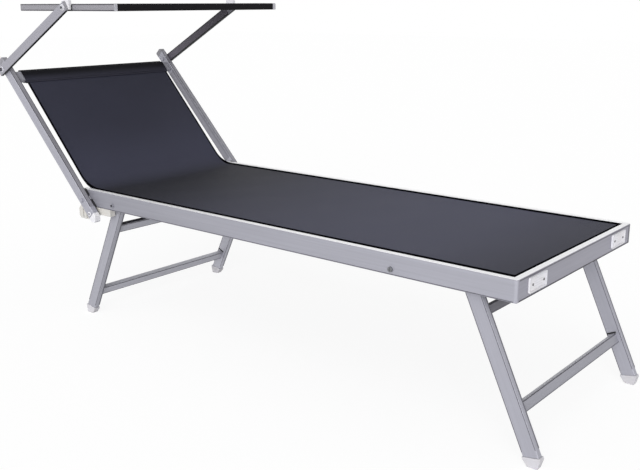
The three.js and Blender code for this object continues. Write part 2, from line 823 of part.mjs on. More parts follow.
function turnedGroup(parent, x, z, angle) {
  const group = new THREE.Group();
  group.position.set(x, 0, z);
  group.rotation.y = angle * degree;
  parent.add(group);
  return group;
}

// Moves the whole so that its base is centred on the origin
function standOnOrigin(group) {
  group.updateMatrixWorld(true);
  const bounds = new THREE.Box3().setFromObject(group, true);
  group.position.set(-(bounds.min.x + bounds.max.x) / 2, -(bounds.min.y + bounds.max.y) / 2,
    -bounds.min.z);
}

const lounger = new THREE.Group();
buildSeat(lounger);
const back = turnedGroup(lounger, -pivotFromFoot, pivotHeight, reclineAngle);
buildBack(back);
const arms = turnedGroup(back, -armPivotReach, 0, -(reclineAngle + armAngle));
buildArms(arms);
const canopy = turnedGroup(arms, armLength, 0, armAngle);
buildCanopy(canopy);
const footLegs = turnedGroup(lounger, -footLegFromFoot, legPivotHeight, 90 - footLegLean);
buildLegs(footLegs, 'foot', footLegLean, 1, [footTopBarReach, footTopBarDepth],
  [footLowBarReach, footLowBarDepth]);
const headLegs = turnedGroup(lounger, headLegX, legPivotHeight, 90 + headLegLean);
buildLegs(headLegs, 'head', headLegLean, -1, [headTopBarReach, headBarDepth],
  [headLowBarReach, headBarDepth]);
standOnOrigin(lounger);

export default lounger;
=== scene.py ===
"""A folding sun lounger with a sun canopy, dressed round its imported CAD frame.

Everything is in metres in the CAD's own frame: +X to the foot end, +Y to the sleeper's left, +Z up.
"""

import json
import math

import bmesh
import bpy
from mathutils import Matrix, Vector
from mathutils.geometry import tessellate_polygon


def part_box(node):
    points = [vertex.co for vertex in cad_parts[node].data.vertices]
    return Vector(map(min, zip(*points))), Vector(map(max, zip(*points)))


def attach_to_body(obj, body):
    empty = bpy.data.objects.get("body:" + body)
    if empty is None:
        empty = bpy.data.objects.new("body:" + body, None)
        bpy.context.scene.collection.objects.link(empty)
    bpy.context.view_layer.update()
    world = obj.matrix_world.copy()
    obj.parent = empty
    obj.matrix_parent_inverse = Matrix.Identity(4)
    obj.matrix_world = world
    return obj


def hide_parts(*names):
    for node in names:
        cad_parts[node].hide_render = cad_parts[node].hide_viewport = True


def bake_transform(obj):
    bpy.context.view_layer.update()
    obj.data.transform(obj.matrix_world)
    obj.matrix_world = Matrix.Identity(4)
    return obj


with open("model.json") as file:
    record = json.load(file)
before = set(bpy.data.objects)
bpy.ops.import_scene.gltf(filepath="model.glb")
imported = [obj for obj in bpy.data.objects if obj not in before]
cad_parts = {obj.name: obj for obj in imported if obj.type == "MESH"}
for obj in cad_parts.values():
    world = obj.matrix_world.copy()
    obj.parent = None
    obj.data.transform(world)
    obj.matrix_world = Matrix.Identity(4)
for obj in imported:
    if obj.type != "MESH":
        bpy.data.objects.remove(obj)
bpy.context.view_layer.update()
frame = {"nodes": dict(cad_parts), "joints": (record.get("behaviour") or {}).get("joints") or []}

MM = 0.001
AHEAD = Vector((1, 0, 0))
ACROSS = Vector((0, 1, 0))
UP = Vector((0, 0, 1))
SIDES = {"left": 1, "right": -1}

# Places read from the CAD frame

JOINTS = {joint["name"]: joint for joint in frame["joints"]}
BACK_PIVOT = Vector(JOINTS["back_recline"]["pos_m"])
ARM_PIVOT = Vector(JOINTS["canopy_arm_tilt"]["pos_m"])
CANOPY_PIVOT = Vector(JOINTS["canopy_tilt"]["pos_m"])
FOOT_PIVOT = Vector(JOINTS["foot_leg_fold"]["pos_m"])
HEAD_PIVOT = Vector(JOINTS["head_leg_fold"]["pos_m"])
FOOT_LEAN = math.radians(24.9)
HEAD_LEAN = math.radians(26)


class Place:
    """A body's own directions: along its length, across to the left, and up out of it."""

    def __init__(self, body, origin, along, up):
        self.body = body
        self.origin = origin
        self.along = along.normalized()
        self.up = up.normalized()

    def at(self, along, up, across=0.0):
        return self.origin + self.along * along + self.up * up + ACROSS * across

    def tilt(self):
        """The turn that lays the frame's length on X, for brushed metal."""
        return (0, math.atan2(self.along.z, self.along.x), 0)


def leaning(body, origin, lean):
    """A leg's place, with its length running down to the foot. lean is positive towards the foot end."""
    down = Vector((math.sin(lean), 0, -math.cos(lean)))
    return Place(body, origin, down, Vector((math.cos(lean), 0, math.sin(lean))))


UP_BACK = (ARM_PIVOT - BACK_PIVOT).normalized()
UP_ARM = (CANOPY_PIVOT - ARM_PIVOT).normalized()
SEAT = Place("seat_frame", Vector(), AHEAD, UP)
BACK = Place("back_frame", BACK_PIVOT, UP_BACK, Vector((UP_BACK.z, 0, -UP_BACK.x)))
ARM = Place("canopy_arms", ARM_PIVOT, UP_ARM, Vector((-UP_ARM.z, 0, UP_ARM.x)))
CANOPY = Place("canopy_frame", Vector(), AHEAD, UP)
LEGS = {
    "foot": leaning("foot_legs", FOOT_PIVOT, FOOT_LEAN),
    "head": leaning("head_legs", HEAD_PIVOT, -HEAD_LEAN),
}

# Camera: the place and angle that the photograph was taken from

CAMERA_FROM_PIVOT = Vector((2.0774, -1.7576, 0.5413))
CAMERA_TURN = math.radians(39.66)
CAMERA_DIP = math.radians(14.844)
CAMERA_ROLL = math.radians(-0.18)
SENSOR_WIDTH = 36.0
LENS = 49.19


def show(name, data):
    """Puts a new object into the scene."""
    obj = bpy.data.objects.new(name, data)
    bpy.context.scene.collection.objects.link(obj)
    return obj


def make_camera():
    data = bpy.data.cameras.new("camera")
    data.sensor_width = SENSOR_WIDTH
    data.lens = LENS
    camera = show("camera", data)
    turn = Matrix.Rotation(CAMERA_TURN, 4, "Z")
    dip = Matrix.Rotation(math.pi / 2 - CAMERA_DIP, 4, "X")
    roll = Matrix.Rotation(CAMERA_ROLL, 4, "Z")
    camera.matrix_world = Matrix.Translation(BACK_PIVOT + CAMERA_FROM_PIVOT) @ turn @ dip @ roll
    bpy.context.scene.camera = camera


# Node helpers

BEVEL_SAMPLES = 4


class Shader:
    """Builds the nodes of a material with a base tint, or of the world. A value is a number, a colour,
    a vector or another node's output."""

    def __init__(self, name, tint=(255, 255, 255), world=False):
        self.base = from_srgb(*tint)
        self.owner = (bpy.data.worlds if world else bpy.data.materials).new(name)
        self.owner.use_nodes = True
        self.tree = self.owner.node_tree
        self.tree.nodes.clear()
        self.output = self.node("ShaderNodeOutputWorld" if world else "ShaderNodeOutputMaterial")

    def node(self, kind, **settings):
        made = self.tree.nodes.new(kind)
        for key, value in settings.items():
            setattr(made, key, value)
        return made

    def link(self, source, target):
        self.tree.links.new(source, target)

    def feed(self, socket, value):
        if isinstance(value, bpy.types.NodeSocket):
            self.link(value, socket)
        else:
            socket.default_value = (*value, 1) if socket.type == "RGBA" else value

    def fill(self, made, values):
        for name, value in values.items():
            self.feed(made.inputs[name], value)
        return made

    def named(self, kind, **values):
        """A node whose values go by the names of its inputs, with underscores for spaces."""
        values = {name.replace("_", " "): value for name, value in values.items()}
        return self.fill(self.node(kind), values).outputs[0]

    def fed(self, kind, *values, **settings):
        """A node whose values go in the order of its inputs."""
        made = self.node(kind, **settings)
        for socket, value in zip(made.inputs, values):
            self.feed(socket, value)
        return made.outputs[0]

    def math(self, operation, *values):
        return self.fed("ShaderNodeMath", *values, operation=operation)

    def weighted(self, first, second, share):
        """A mean in which the first value counts for share and the second for the rest."""
        return self.math("ADD", self.math("MULTIPLY", first, share),
                         self.math("MULTIPLY", second, 1 - share))

    def apart(self, vector):
        """A vector's outputs X, Y and Z."""
        made = self.node("ShaderNodeSeparateXYZ")
        self.link(vector, made.inputs[0])
        return made.outputs

    def places(self, stretch=(1, 1, 1), turn=(0, 0, 0)):
        """Object coordinates, turned and then scaled."""
        turned = self.node("ShaderNodeVectorRotate", rotation_type="EULER_XYZ")
        self.fill(turned, {"Vector": self.node("ShaderNodeTexCoord").outputs["Object"], "Rotation": turn})
        return self.fed("ShaderNodeVectorMath", turned.outputs[0], stretch, operation="MULTIPLY")

    def noise(self, vector, scale, detail=2.0, roughness=0.5):
        return self.named("ShaderNodeTexNoise", Vector=vector, Scale=scale, Detail=detail,
                          Roughness=roughness)

    def ramp(self, value, low, high, from_low=0.0, from_high=1.0):
        return self.named("ShaderNodeMapRange", Value=value, From_Min=from_low, From_Max=from_high,
                          To_Min=low, To_Max=high)

    def stops(self, value, pairs):
        """A smooth line through (value, result) pairs in rising order."""
        made = self.node("ShaderNodeValToRGB")
        curve = made.color_ramp
        curve.interpolation = "CARDINAL"
        length = pairs[-1][0]
        while len(curve.elements) < len(pairs):
            curve.elements.new(1.0)
        for element, (at, result) in zip(curve.elements, pairs):
            element.position = at / length
            element.color = (result, result, result, 1)
        self.link(self.math("DIVIDE", value, length), made.inputs["Fac"])
        return made.outputs["Color"]

    def mix(self, share, first, second):
        made = self.node("ShaderNodeMix", data_type="RGBA")
        return self.fill(made, {"Factor": share, "A": first, "B": second}).outputs["Result"]

    def tones(self, share, low, high):
        """From low to high times the base tint."""
        return self.mix(share, scaled(self.base, low), scaled(self.base, high))

    def bump(self, height, distance, strength, normal=None):
        made = self.node("ShaderNodeBump")
        self.fill(made, {"Strength": strength, "Distance": distance, "Height": height})
        if normal is not None:
            self.link(normal, made.inputs["Normal"])
        return made.outputs["Normal"]

    def bevel(self, radius):
        made = self.node("ShaderNodeBevel", samples=BEVEL_SAMPLES)
        return self.fill(made, {"Radius": radius}).outputs["Normal"]

    def end(self, surface):
        self.link(surface, self.output.inputs["Surface"])
        return self.owner

    def finish(self, colour, roughness, normal, **values):
        return self.end(self.named("ShaderNodeBsdfPrincipled", Base_Color=colour, Roughness=roughness,
                                   Normal=normal, **values))

    def seen_directly(self):
        """A value of 1 for rays from the camera, from gloss and from glass, and 0 for diffuse light."""
        path = self.node("ShaderNodeLightPath").outputs
        either = self.math("MAXIMUM", path["Is Camera Ray"], path["Is Glossy Ray"])
        return self.math("MAXIMUM", either, path["Is Transmission Ray"])


def from_srgb(red, green, blue):
    """A colour as seen on a screen, 0 to 255, as the linear value that shaders use."""
    shares = (red / 255, green / 255, blue / 255)
    return tuple(c / 12.92 if c <= 0.04045 else ((c + 0.055) / 1.055) ** 2.4 for c in shares)


def scaled(colour, share):
    return tuple(min(1.0, c * share) for c in colour)


# Materials

EDGE_RADIUS = 0.6 * MM
NYLON_EDGE = 0.8 * MM
STEEL_EDGE = 0.4 * MM
METAL_SHARE = 0.3
STEEL_METAL_SHARE = 0.9
METAL_ROUGHNESS = (0.42, 0.54)
NYLON_ROUGHNESS = (0.42, 0.55)
STEEL_ROUGHNESS = (0.24, 0.42)
MOULDED_ROUGHNESS = (0.5, 0.62)
YARN_ROUGHNESS = (0.8, 0.6)
BRUSHED_DEPTH = 0.04 * MM
GRAIN_DEPTH = 0.03 * MM
MOULDED_DEPTH = 0.04 * MM
YARN_DEPTH = 0.25 * MM
TWIST_DEPTH = 0.1 * MM
YARN_PITCH = 2.4 * MM

# How many marks of brushed metal lie in a metre, along the piece and twice across it
STREAKS = (3, 260, 260)
LINES = (12, 1400, 1400)
CLOUDS = (2, 9, 9)

# The middle part of a noise's range, where most of its values lie
BAND = (0.3, 0.7)
PLAIN_TINT = (168, 168, 178)
# The near white of the painted highlight on the rails' tops
RIM_HIGHLIGHT_TINT = (252, 252, 254)
# Painted shade on the side rails: how much darker, and where along X it is full and where it has faded out
RAIL_SHADE_SHARE = 0.2
RAIL_SHADE_SPAN = (-0.25, 0.6)


def aluminium(look, turn, tint=PLAIN_TINT, highlight_above=None, painted_shade_span=None):
    """Satin anodised aluminium, brushed along the piece. turn lays the piece's length on X.
    Above an optional height the top edge carries a painted highlight, near white. An optional span along
    X gives where a painted shade is full and where it has faded out."""
    make = Shader(f"aluminium_{look}", tint)
    streaks = make.noise(make.places(STREAKS, turn), 1.0, 3.0, 0.6)
    lines = make.noise(make.places(LINES, turn), 1.0, 2.0, 0.6)
    clouds = make.noise(make.places(CLOUDS, turn), 1.0)
    colour = make.tones(make.ramp(make.weighted(streaks, clouds, 0.55), 0, 1, *BAND), 0.9, 1.08)
    place = make.apart(make.places())
    # Painted shade: darker short of the span, fading out across it
    if painted_shade_span is not None:
        dull = make.ramp(place["X"], RAIL_SHADE_SHARE, 0.0, *painted_shade_span)
        colour = make.mix(dull, colour, (0, 0, 0))
    # Painted highlight: above the given height the top edge is painted near white
    if highlight_above is not None:
        marked = make.math("GREATER_THAN", place["Z"], highlight_above)
        colour = make.mix(marked, colour, from_srgb(*RIM_HIGHLIGHT_TINT))
    normal = make.bump(make.weighted(streaks, lines, 0.5), BRUSHED_DEPTH, 0.2, make.bevel(EDGE_RADIUS))
    return make.finish(colour, make.ramp(lines, *METAL_ROUGHNESS, *BAND), normal, Metallic=METAL_SHARE)


def nylon(name, tint):
    """Moulded nylon: waxy, with a faint grain and slight yellowing."""
    make = Shader(name, tint)
    place = make.places()
    clouds = make.noise(place, 35.0, 3.0)
    grain = make.noise(place, 2600.0)
    red, green, blue = make.base
    warm = (red, green * 0.98, blue * 0.94)
    colour = make.mix(make.ramp(clouds, 0, 0.7, 0.35, 0.7), make.base, warm)
    normal = make.bump(grain, GRAIN_DEPTH, 0.3, make.bevel(NYLON_EDGE))
    return make.finish(colour, make.ramp(clouds, *NYLON_ROUGHNESS, *BAND), normal,
                       Specular_IOR_Level=0.45)


def steel(name, tint):
    """Plated steel."""
    make = Shader(name, tint)
    clouds = make.noise(make.places(), 220.0, 3.0)
    return make.finish(make.tones(clouds, 0.75, 1), make.ramp(clouds, *STEEL_ROUGHNESS),
                       make.bevel(STEEL_EDGE), Metallic=STEEL_METAL_SHARE)


def moulded(name, tint):
    """Dark or grey moulded plastic with a fine grain."""
    make = Shader(name, tint)
    place = make.places()
    grain = make.noise(place, 1800.0)
    clouds = make.noise(place, 60.0)
    normal = make.bump(grain, MOULDED_DEPTH, 0.4, make.bevel(EDGE_RADIUS))
    return make.finish(make.tones(clouds, 0.85, 1.1), make.ramp(clouds, *MOULDED_ROUGHNESS), normal)


def woven(name, tint, tones=None, gloss=0.22):
    """Coated yarn in a fine open basket weave. The UV map is in metres across and along the cloth.
    tones gives, at distances along it, how much of the tint is kept: painted shade along the cloth, and on
    the hem also its darker cloth."""
    make = Shader(name, tint)
    uv = make.node("ShaderNodeUVMap", uv_map="cloth").outputs["UV"]
    place = make.apart(uv)
    turns = 2 * math.pi / YARN_PITCH
    waves = [make.math("SINE", make.math("MULTIPLY", place[axis], turns)) for axis in "XY"]
    upper = make.math("GREATER_THAN", make.math("MULTIPLY", *waves), 0.0)
    warp, weft = [make.math("ABSOLUTE", wave) for wave in waves]
    thread = make.math("ADD", make.math("MULTIPLY", warp, upper),
                       make.math("MULTIPLY", weft, make.math("SUBTRACT", 1.0, upper)))
    gap = make.math("MULTIPLY", make.math("SUBTRACT", 1.0, warp), make.math("SUBTRACT", 1.0, weft))
    clouds = make.noise(uv, 5.0, 3.0)
    yarn = make.noise(uv, 420.0)
    twisted = make.tones(make.ramp(thread, 0.15, 1.0), 0.5, 1.3)
    marked = make.mix(make.ramp(yarn, 0.0, 0.35, 0.35, 0.7), twisted, make.base)
    holed = make.mix(make.ramp(gap, 0.0, 0.85, 0.3, 0.9), marked, scaled(make.base, 0.2))
    colour = make.mix(make.ramp(clouds, 0.0, 0.25, *BAND), holed, scaled(make.base, 0.8))
    # Painted shade along the cloth's length, from the tones
    if tones is not None:
        colour = make.mix(make.stops(place["Y"], tones), (0, 0, 0), colour)
    normal = make.bump(thread, YARN_DEPTH, 0.6)
    return make.finish(colour, make.ramp(thread, *YARN_ROUGHNESS), normal, Specular_IOR_Level=gloss)


def thread(name, tint, gloss=0.25, roughness=0.75):
    """Twisted polyester thread or woven tape."""
    make = Shader(name, tint)
    twist = make.noise(make.places(), 900.0)
    return make.finish(make.tones(twist, 0.6, 1), roughness, make.bump(twist, TWIST_DEPTH, 0.5),
                       Specular_IOR_Level=gloss)


SEAT_LOW, SEAT_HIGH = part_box("seat_sling")
SEAT_RUN = SEAT_HIGH.x - SEAT_LOW.x
# The rails' tops, down to this depth, carry a painted highlight
RIM_HIGHLIGHT_DEPTH = 0.4 * MM
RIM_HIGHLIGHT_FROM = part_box("side_rail_left")[1].z - RIM_HIGHLIGHT_DEPTH

# How much of the tint is kept at each distance from the foot edge, which paints shade along the sling,
# and from the hem's lower edge, which gives the hem its darker cloth with some painted shade
SLING_PAINTED_SHADE = ((0.0, 0.5), (0.2, 0.92), (SEAT_RUN - 0.85, 1.0), (SEAT_RUN - 0.4, 0.58),
               (SEAT_RUN - 0.04, 0.25), (SEAT_RUN + 0.06, 0.85), (SEAT_RUN + 0.25, 0.7))
HEM_TONES_AND_SHADE = ((0.0, 1.0), (0.01, 0.85), (0.026, 0.26), (0.05, 0.14))

ALONG_X = (0, 0, 0)
ALONG_Y = (0, 0, math.pi / 2)
ALONG_Z = (0, math.pi / 2, 0)
# How each aluminium look is brushed, its tint, the height of its painted highlight and the span of its
# painted shade
ALUMINIUM = {
    # The side rails: a painted highlight on their tops, and painted shade that fades out towards the foot
    # end
    "rail": (ALONG_X, PLAIN_TINT, RIM_HIGHLIGHT_FROM, RAIL_SHADE_SPAN),
    # The foot rail's darker tint is painted shade on its face; its top carries the painted highlight
    "foot_rail": (ALONG_Y, (156, 155, 166), RIM_HIGHLIGHT_FROM),
    "back": (BACK.tilt(),),
    "foot_leg": (LEGS["foot"].tilt(),),
    "canopy_rail": (ALONG_X, (150, 148, 155)),
    "across": (ALONG_Y, (160, 160, 169)),
    # A lighter tint for the head legs' bars: painted light against the seat's shadow
    "head_across_painted_light": (ALONG_Y, (180, 180, 189)),
    # A darker tint for the foot legs' top bar: painted shade from the seat above
    "painted_shade_across": (ALONG_Y, (118, 117, 124)),
    # The canopy bolts' own bright metal, and a painted highlight on the low bars' tops
    "bright": (ALONG_Y, (206, 206, 213)),
    "arm": (ARM.tilt(), (160, 159, 168)),
    "head_leg": (LEGS["head"].tilt(), (165, 165, 174)),
    # A lighter tint for the far head leg: painted light against the seat's shadow
    "far_head_leg_painted_light": (LEGS["head"].tilt(), (184, 184, 193)),
    # A lighter tint for the right foot corner: painted highlight
    "corner": (ALONG_Z, (172, 172, 182)),
    # Darker tints for the back tubes' front and inner faces: painted shade
    "back_front_painted_shade": (BACK.tilt(), (152, 151, 159)),
    "back_inside_painted_shade": (BACK.tilt(), (140, 139, 148)),
    # Dark lines: painted shade along edges and in grooves
    "shade_line": (ALONG_X, (104, 103, 112)),
    "dark_shade_line": (ALONG_X, (66, 64, 72)),
}
MATERIALS = {look: aluminium(look, *values) for look, values in ALUMINIUM.items()} | {
    # The arms' inner sides: painted shade
    "arm_inside_painted_shade": moulded("arm_inside_painted_shade", (106, 101, 112)),
    "nylon": nylon("white_nylon", (228, 228, 234)),
    "plate_field": nylon("plate_nylon", (238, 237, 243)),
    "foot_cap": nylon("grey_nylon", (204, 203, 209)),
    "block": nylon("cream_nylon", (208, 206, 202)),
    "steel": steel("zinc_steel", (140, 141, 145)),
    "dark_steel": steel("dark_steel", (70, 70, 76)),
    "black_steel": steel("black_steel", (40, 40, 45)),
    "cap": moulded("grey_cap", (146, 145, 151)),
    "plug": moulded("light_plug", (190, 189, 196)),
    "black": moulded("black_plastic", (20, 20, 23)),
    "sling": woven("sling_weave", (65, 66, 83), SLING_PAINTED_SHADE),
    "hem": woven("hem_weave", (63, 63, 75), HEM_TONES_AND_SHADE, 0.08),
    "canopy": woven("canopy_weave", (27, 25, 29), gloss=0.08),
    "thread": thread("black_thread", (16, 16, 19)),
    "tape": thread("black_tape", (8, 8, 11), 0.0, 1.0),
}

# The CAD nodes that take each look, without their left or right. Cloth nodes aren't named here.
LOOKS = {
    "rail": ("side_rail", "head_leg_bolt"),
    "foot_rail": ("foot_rail",),
    "back": ("back_tube", "back_pivot_bolt", "arm_bolt"),
    "arm": ("canopy_arm",),
    "canopy_rail": ("canopy_side_rail",),
    "across": ("head_cross_tube", "seat_spreader_tube", "back_crossbar", "canopy_front_bar",
               "canopy_rear_bar", "foot_leg_low_bar"),
    # The head legs' bars take painted light
    "head_across_painted_light": ("head_leg_top_bar", "head_leg_low_bar"),
    # The foot legs' top bar takes painted shade
    "painted_shade_across": ("foot_leg_top_bar",),
    "bright": ("canopy_bolt",),
    "foot_leg": ("foot_leg",),
    "head_leg": ("head_leg",),
    # The left head leg is the far one, and takes painted light
    "far_head_leg_painted_light": ("head_leg_left",),
    "nylon": ("foot_plate", "back_pivot_washer", "back_shoe", "arm_washer", "canopy_knuckle"),
    "foot_cap": ("foot_foot", "head_foot"),
    "block": ("rest_block",),
    "cap": ("back_top_cap",),
    "black": ("rail_end_cap",),
    "steel": ("spreader_screw", "foot_leg_pin"),
}
NODE_LOOKS = {kind: look for look, kinds in LOOKS.items() for kind in kinds}


def paint(obj, look):
    obj.data.materials.clear()
    obj.data.materials.append(MATERIALS[look])


def dress_nodes():
    for name, obj in frame["nodes"].items():
        kind = name.removesuffix("_left").removesuffix("_right")
        paint(obj, NODE_LOOKS.get(name, NODE_LOOKS.get(kind, "sling")))


# Mesh helpers

SMOOTH_ANGLE = math.radians(40)


def mesh_object(name, points, faces, look, uvs=None):
    mesh = bpy.data.meshes.new(name)
    mesh.from_pydata([tuple(p) for p in points], [], faces)
    mesh.validate()
    if uvs is not None:
        layer = mesh.uv_layers.new(name="cloth")
        for loop in mesh.loops:
            layer.data[loop.index].uv = uvs[loop.vertex_index]
    for polygon in mesh.polygons:
        polygon.use_smooth = True
    mesh.set_sharp_from_angle(angle=SMOOTH_ANGLE)
    work = bmesh.new()
    work.from_mesh(mesh)
    bmesh.ops.recalc_face_normals(work, faces=work.faces)
    work.to_mesh(mesh)
    work.free()
    obj = show(name, mesh)
    paint(obj, look)
    return obj


def attach(obj, body):
    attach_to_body(obj, body)
    return obj


def round_off(obj, width, segments=2):
    """Rounds a piece's edges with a bevel."""
    modifier = obj.modifiers.new("edges", "BEVEL")
    modifier.width = width
    modifier.segments = segments
    modifier.limit_method = "ANGLE"
    return obj


def sweep(name, rings, look):
    """A closed body through rings of points, with flat ends."""
    count = len(rings[0])
    points = [point for ring in rings for point in ring]
    faces = [tuple(reversed(range(count)))]
    for i in range(len(rings) - 1):
        for j in range(count):
            k = (j + 1) % count
            faces.append((i * count + j, i * count + k, (i + 1) * count + k, (i + 1) * count + j))
    faces.append(tuple((len(rings) - 1) * count + j for j in range(count)))
    return mesh_object(name, points, faces, look)


def plate(name, outlines, origin, u, v, depth, look, body, slot):
    """A flat outline, with holes after the first, pushed out along u x v. Outlines are lists of (u, v)."""
    w = u.cross(v).normalized()
    flat = [[Vector((a, b, 0)) for a, b in outline] for outline in outlines]
    corners = [corner for outline in outlines for corner in outline]
    points = [origin + u * a + v * b for a, b in corners]
    points += [point + w * depth for point in points]
    total = len(corners)
    faces = []
    for a, b, c in tessellate_polygon(flat):
        faces.append((a, b, c))
        faces.append((c + total, b + total, a + total))
    start = 0
    for outline in outlines:
        count = len(outline)
        for i in range(count):
            j = (i + 1) % count
            faces.append((start + i, start + j, start + j + total, start + i + total))
        start += count
    return attach(mesh_object(name, points, faces, look), body)


def circle(radius, steps=24):
    return [(radius * math.cos(2 * math.pi * i / steps), radius * math.sin(2 * math.pi * i / steps))
            for i in range(steps)]


def rounded(width, height, radius, steps=4):
    """A rectangle with round corners."""
    outline = []
    for quarter, (sx, sy) in enumerate(((1, -1), (1, 1), (-1, 1), (-1, -1))):
        for i in range(steps + 1):
            angle = math.pi / 2 * (quarter - 1 + i / steps)
            outline.append((sx * (width / 2 - radius) + radius * math.cos(angle),
                            sy * (height / 2 - radius) + radius * math.sin(angle)))
    return outline


def cross(reach, width):
    """The outline of a cross recess."""
    a, b = reach, width / 2
    return [(a, -b), (a, b), (b, b), (b, a), (-b, a), (-b, b), (-a, b), (-a, -b), (-b, -b), (-b, -a),
            (b, -a), (b, -b)]


# Cloth: a grid on a line in X and Z, wide in Y, with the thickness of the fabric

FABRIC = 1.6 * MM


def line_normals(line):
    """At each point of a line, the direction that the top of the cloth faces."""
    normals = []
    for i in range(len(line)):
        before, after = line[max(i - 1, 0)], line[min(i + 1, len(line) - 1)]
        tangent = (after - before).normalized()
        normals.append(Vector((tangent.z, 0, -tangent.x)))
    return normals


def cloth(name, line, halves, cells, look, dip=None, thickness=FABRIC):
    """dip(i, share across from -1 to 1) gives how far the cloth lies above its line."""
    normals = line_normals(line)
    upper, lower, uvs = [], [], []
    run = 0.0
    for i, (point, normal, half) in enumerate(zip(line, normals, halves)):
        run += (point - line[i - 1]).length if i else 0.0
        for j in range(cells + 1):
            share = 2 * j / cells - 1
            lift = dip(i, share) if dip else 0.0
            middle = point + ACROSS * (half * share) + normal * lift
            upper.append(middle + normal * (thickness / 2))
            lower.append(middle - normal * (thickness / 2))
            uvs.append((half * share, run))
    faces = cloth_faces(len(line), cells + 1, len(upper))
    return mesh_object(name, upper + lower, faces, look, uvs + uvs), run


def cloth_faces(rows, columns, below):
    faces = []
    for i in range(rows - 1):
        for j in range(columns - 1):
            a = i * columns + j
            quad = (a, a + 1, a + columns + 1, a + columns)
            faces.append(quad)
            faces.append(tuple(below + k for k in reversed(quad)))
    rim = list(range(columns))
    rim += [i * columns + columns - 1 for i in range(1, rows)]
    rim += [(rows - 1) * columns + j for j in range(columns - 2, -1, -1)]
    rim += [i * columns for i in range(rows - 2, 0, -1)]
    for a, b in zip(rim, rim[1:] + rim[:1]):
        faces.append((b, a, a + below, b + below))
    return faces


STITCH_PITCH = 4 * MM
STITCH_LENGTH = 2.7 * MM
STITCH_WIDTH = 0.6 * MM
STITCH_HEIGHT = 0.35 * MM
STITCH_SINK_SHARE = 0.3
STITCH_END_SHARE = 0.4
ROW_MARGIN = 3 * MM

# A stitch's points are numbered from 0 to 7 at its two ends, with 8 and 9 on its ridge
STITCH_FACES = ((0, 2, 3, 1), (4, 5, 7, 6), (0, 4, 6, 2), (0, 1, 8, 5, 4), (2, 6, 7, 9, 3), (1, 3, 9, 8),
                (8, 9, 7, 5))


def stitch_row(name, place, along, up, half):
    """A row of short stitches across the cloth, each a little ridge with lower ends."""
    count = int(2 * half / STITCH_PITCH)
    first = (2 * half - count * STITCH_PITCH) / 2 - half
    run, wide, rise = ACROSS * STITCH_LENGTH, place.along * STITCH_WIDTH, place.up * STITCH_HEIGHT
    points, faces = [], []
    for i in range(count):
        start = place.at(along, up, first + i * STITCH_PITCH)
        faces += [tuple(len(points) + k for k in face) for face in STITCH_FACES]
        for end in (0, 1):
            for sideways in (-0.5, 0.5):
                for height in (-STITCH_SINK_SHARE, STITCH_END_SHARE):
                    points.append(start + run * end + wide * sideways + rise * height)
        points += [start + run / 2 + wide * sideways + rise for sideways in (-0.5, 0.5)]
    return mesh_object(name, points, faces, "thread")


# Sling: one cloth over the seat, round the bend and up the back

SEAT_SLING_HALF = SEAT_HIGH.y
BACK_SLING_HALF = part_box("sling_bend")[1].y
SHEET_DROP = -3 * MM
SHEET_RISE = 5 * MM
BEND_TOP = 77 * MM
BAR_UP = 456 * MM
BAR_DEPTH = 38 * MM
BAR_THICKNESS = 16 * MM
BAR_CLEARANCE = 2 * MM
SHEET_END = BAR_UP - BAR_DEPTH / 2 - BAR_CLEARANCE
SEAT_CELLS = 120
BEND_CELLS = 24
BACK_CELLS = 48
WIDTH_CELLS = 48
SEAT_SAG = 4 * MM
BACK_SAG = 3 * MM
SAG_RUN = 0.16
CREASE_DEPTH = 2.2 * MM
CREASE_WIDTH = 26 * MM
RIPPLE = 0.7 * MM

# The ripple's two waves: turns along the cloth and across it
WAVES = ((31, 1.3), (5, 4.1))


def between(first, last, share):
    return first + (last - first) * share


def eased(value):
    value = min(1.0, max(0.0, value))
    return value * value * (3 - 2 * value)


def sheet_up(up):
    """How far the back's sheet lies above the plane of its tubes, at a distance up the back."""
    return between(SHEET_DROP, SHEET_RISE, (up - BEND_TOP) / (BAR_UP - BEND_TOP))


def sling_line():
    """The sling's middle line from the foot rail to just under the crossbar."""
    z = (SEAT_LOW.z + SEAT_HIGH.z) / 2
    foot = Vector((SEAT_HIGH.x, 0, z))
    start = Vector((SEAT_LOW.x, 0, z))
    end = BACK.at(BEND_TOP, SHEET_DROP)
    corner = BACK_PIVOT + UP_BACK * ((z - BACK_PIVOT.z) / UP_BACK.z)
    line = [foot.lerp(start, i / SEAT_CELLS) for i in range(SEAT_CELLS)]
    for i in range(BEND_CELLS):
        t = i / BEND_CELLS
        line.append(start * (1 - t) ** 2 + corner * (2 * t * (1 - t)) + end * t ** 2)
    for i in range(BACK_CELLS + 1):
        up = between(BEND_TOP, SHEET_END, i / BACK_CELLS)
        line.append(BACK.at(up, sheet_up(up)))
    return line


def sling_dip(runs, shares):
    """The function that gives the sling's sag, its crease before the bend and its faint ripple."""
    bend_run, total = runs[SEAT_CELLS], runs[-1]
    (along, slant), (slow, wide) = WAVES

    def dip(i, share):
        run = runs[i]
        held = eased(run / SAG_RUN) * eased((total - run) / SAG_RUN)
        crown = 1 - share * share
        crease = CREASE_DEPTH * math.exp(-((run - bend_run + CREASE_WIDTH) / CREASE_WIDTH) ** 2)
        ripple = RIPPLE * math.sin(run * along + share * slant) * math.sin(share * wide + run * slow)
        return -(between(SEAT_SAG, BACK_SAG, shares[i]) * held + crease) * crown + ripple * crown * held

    return dip


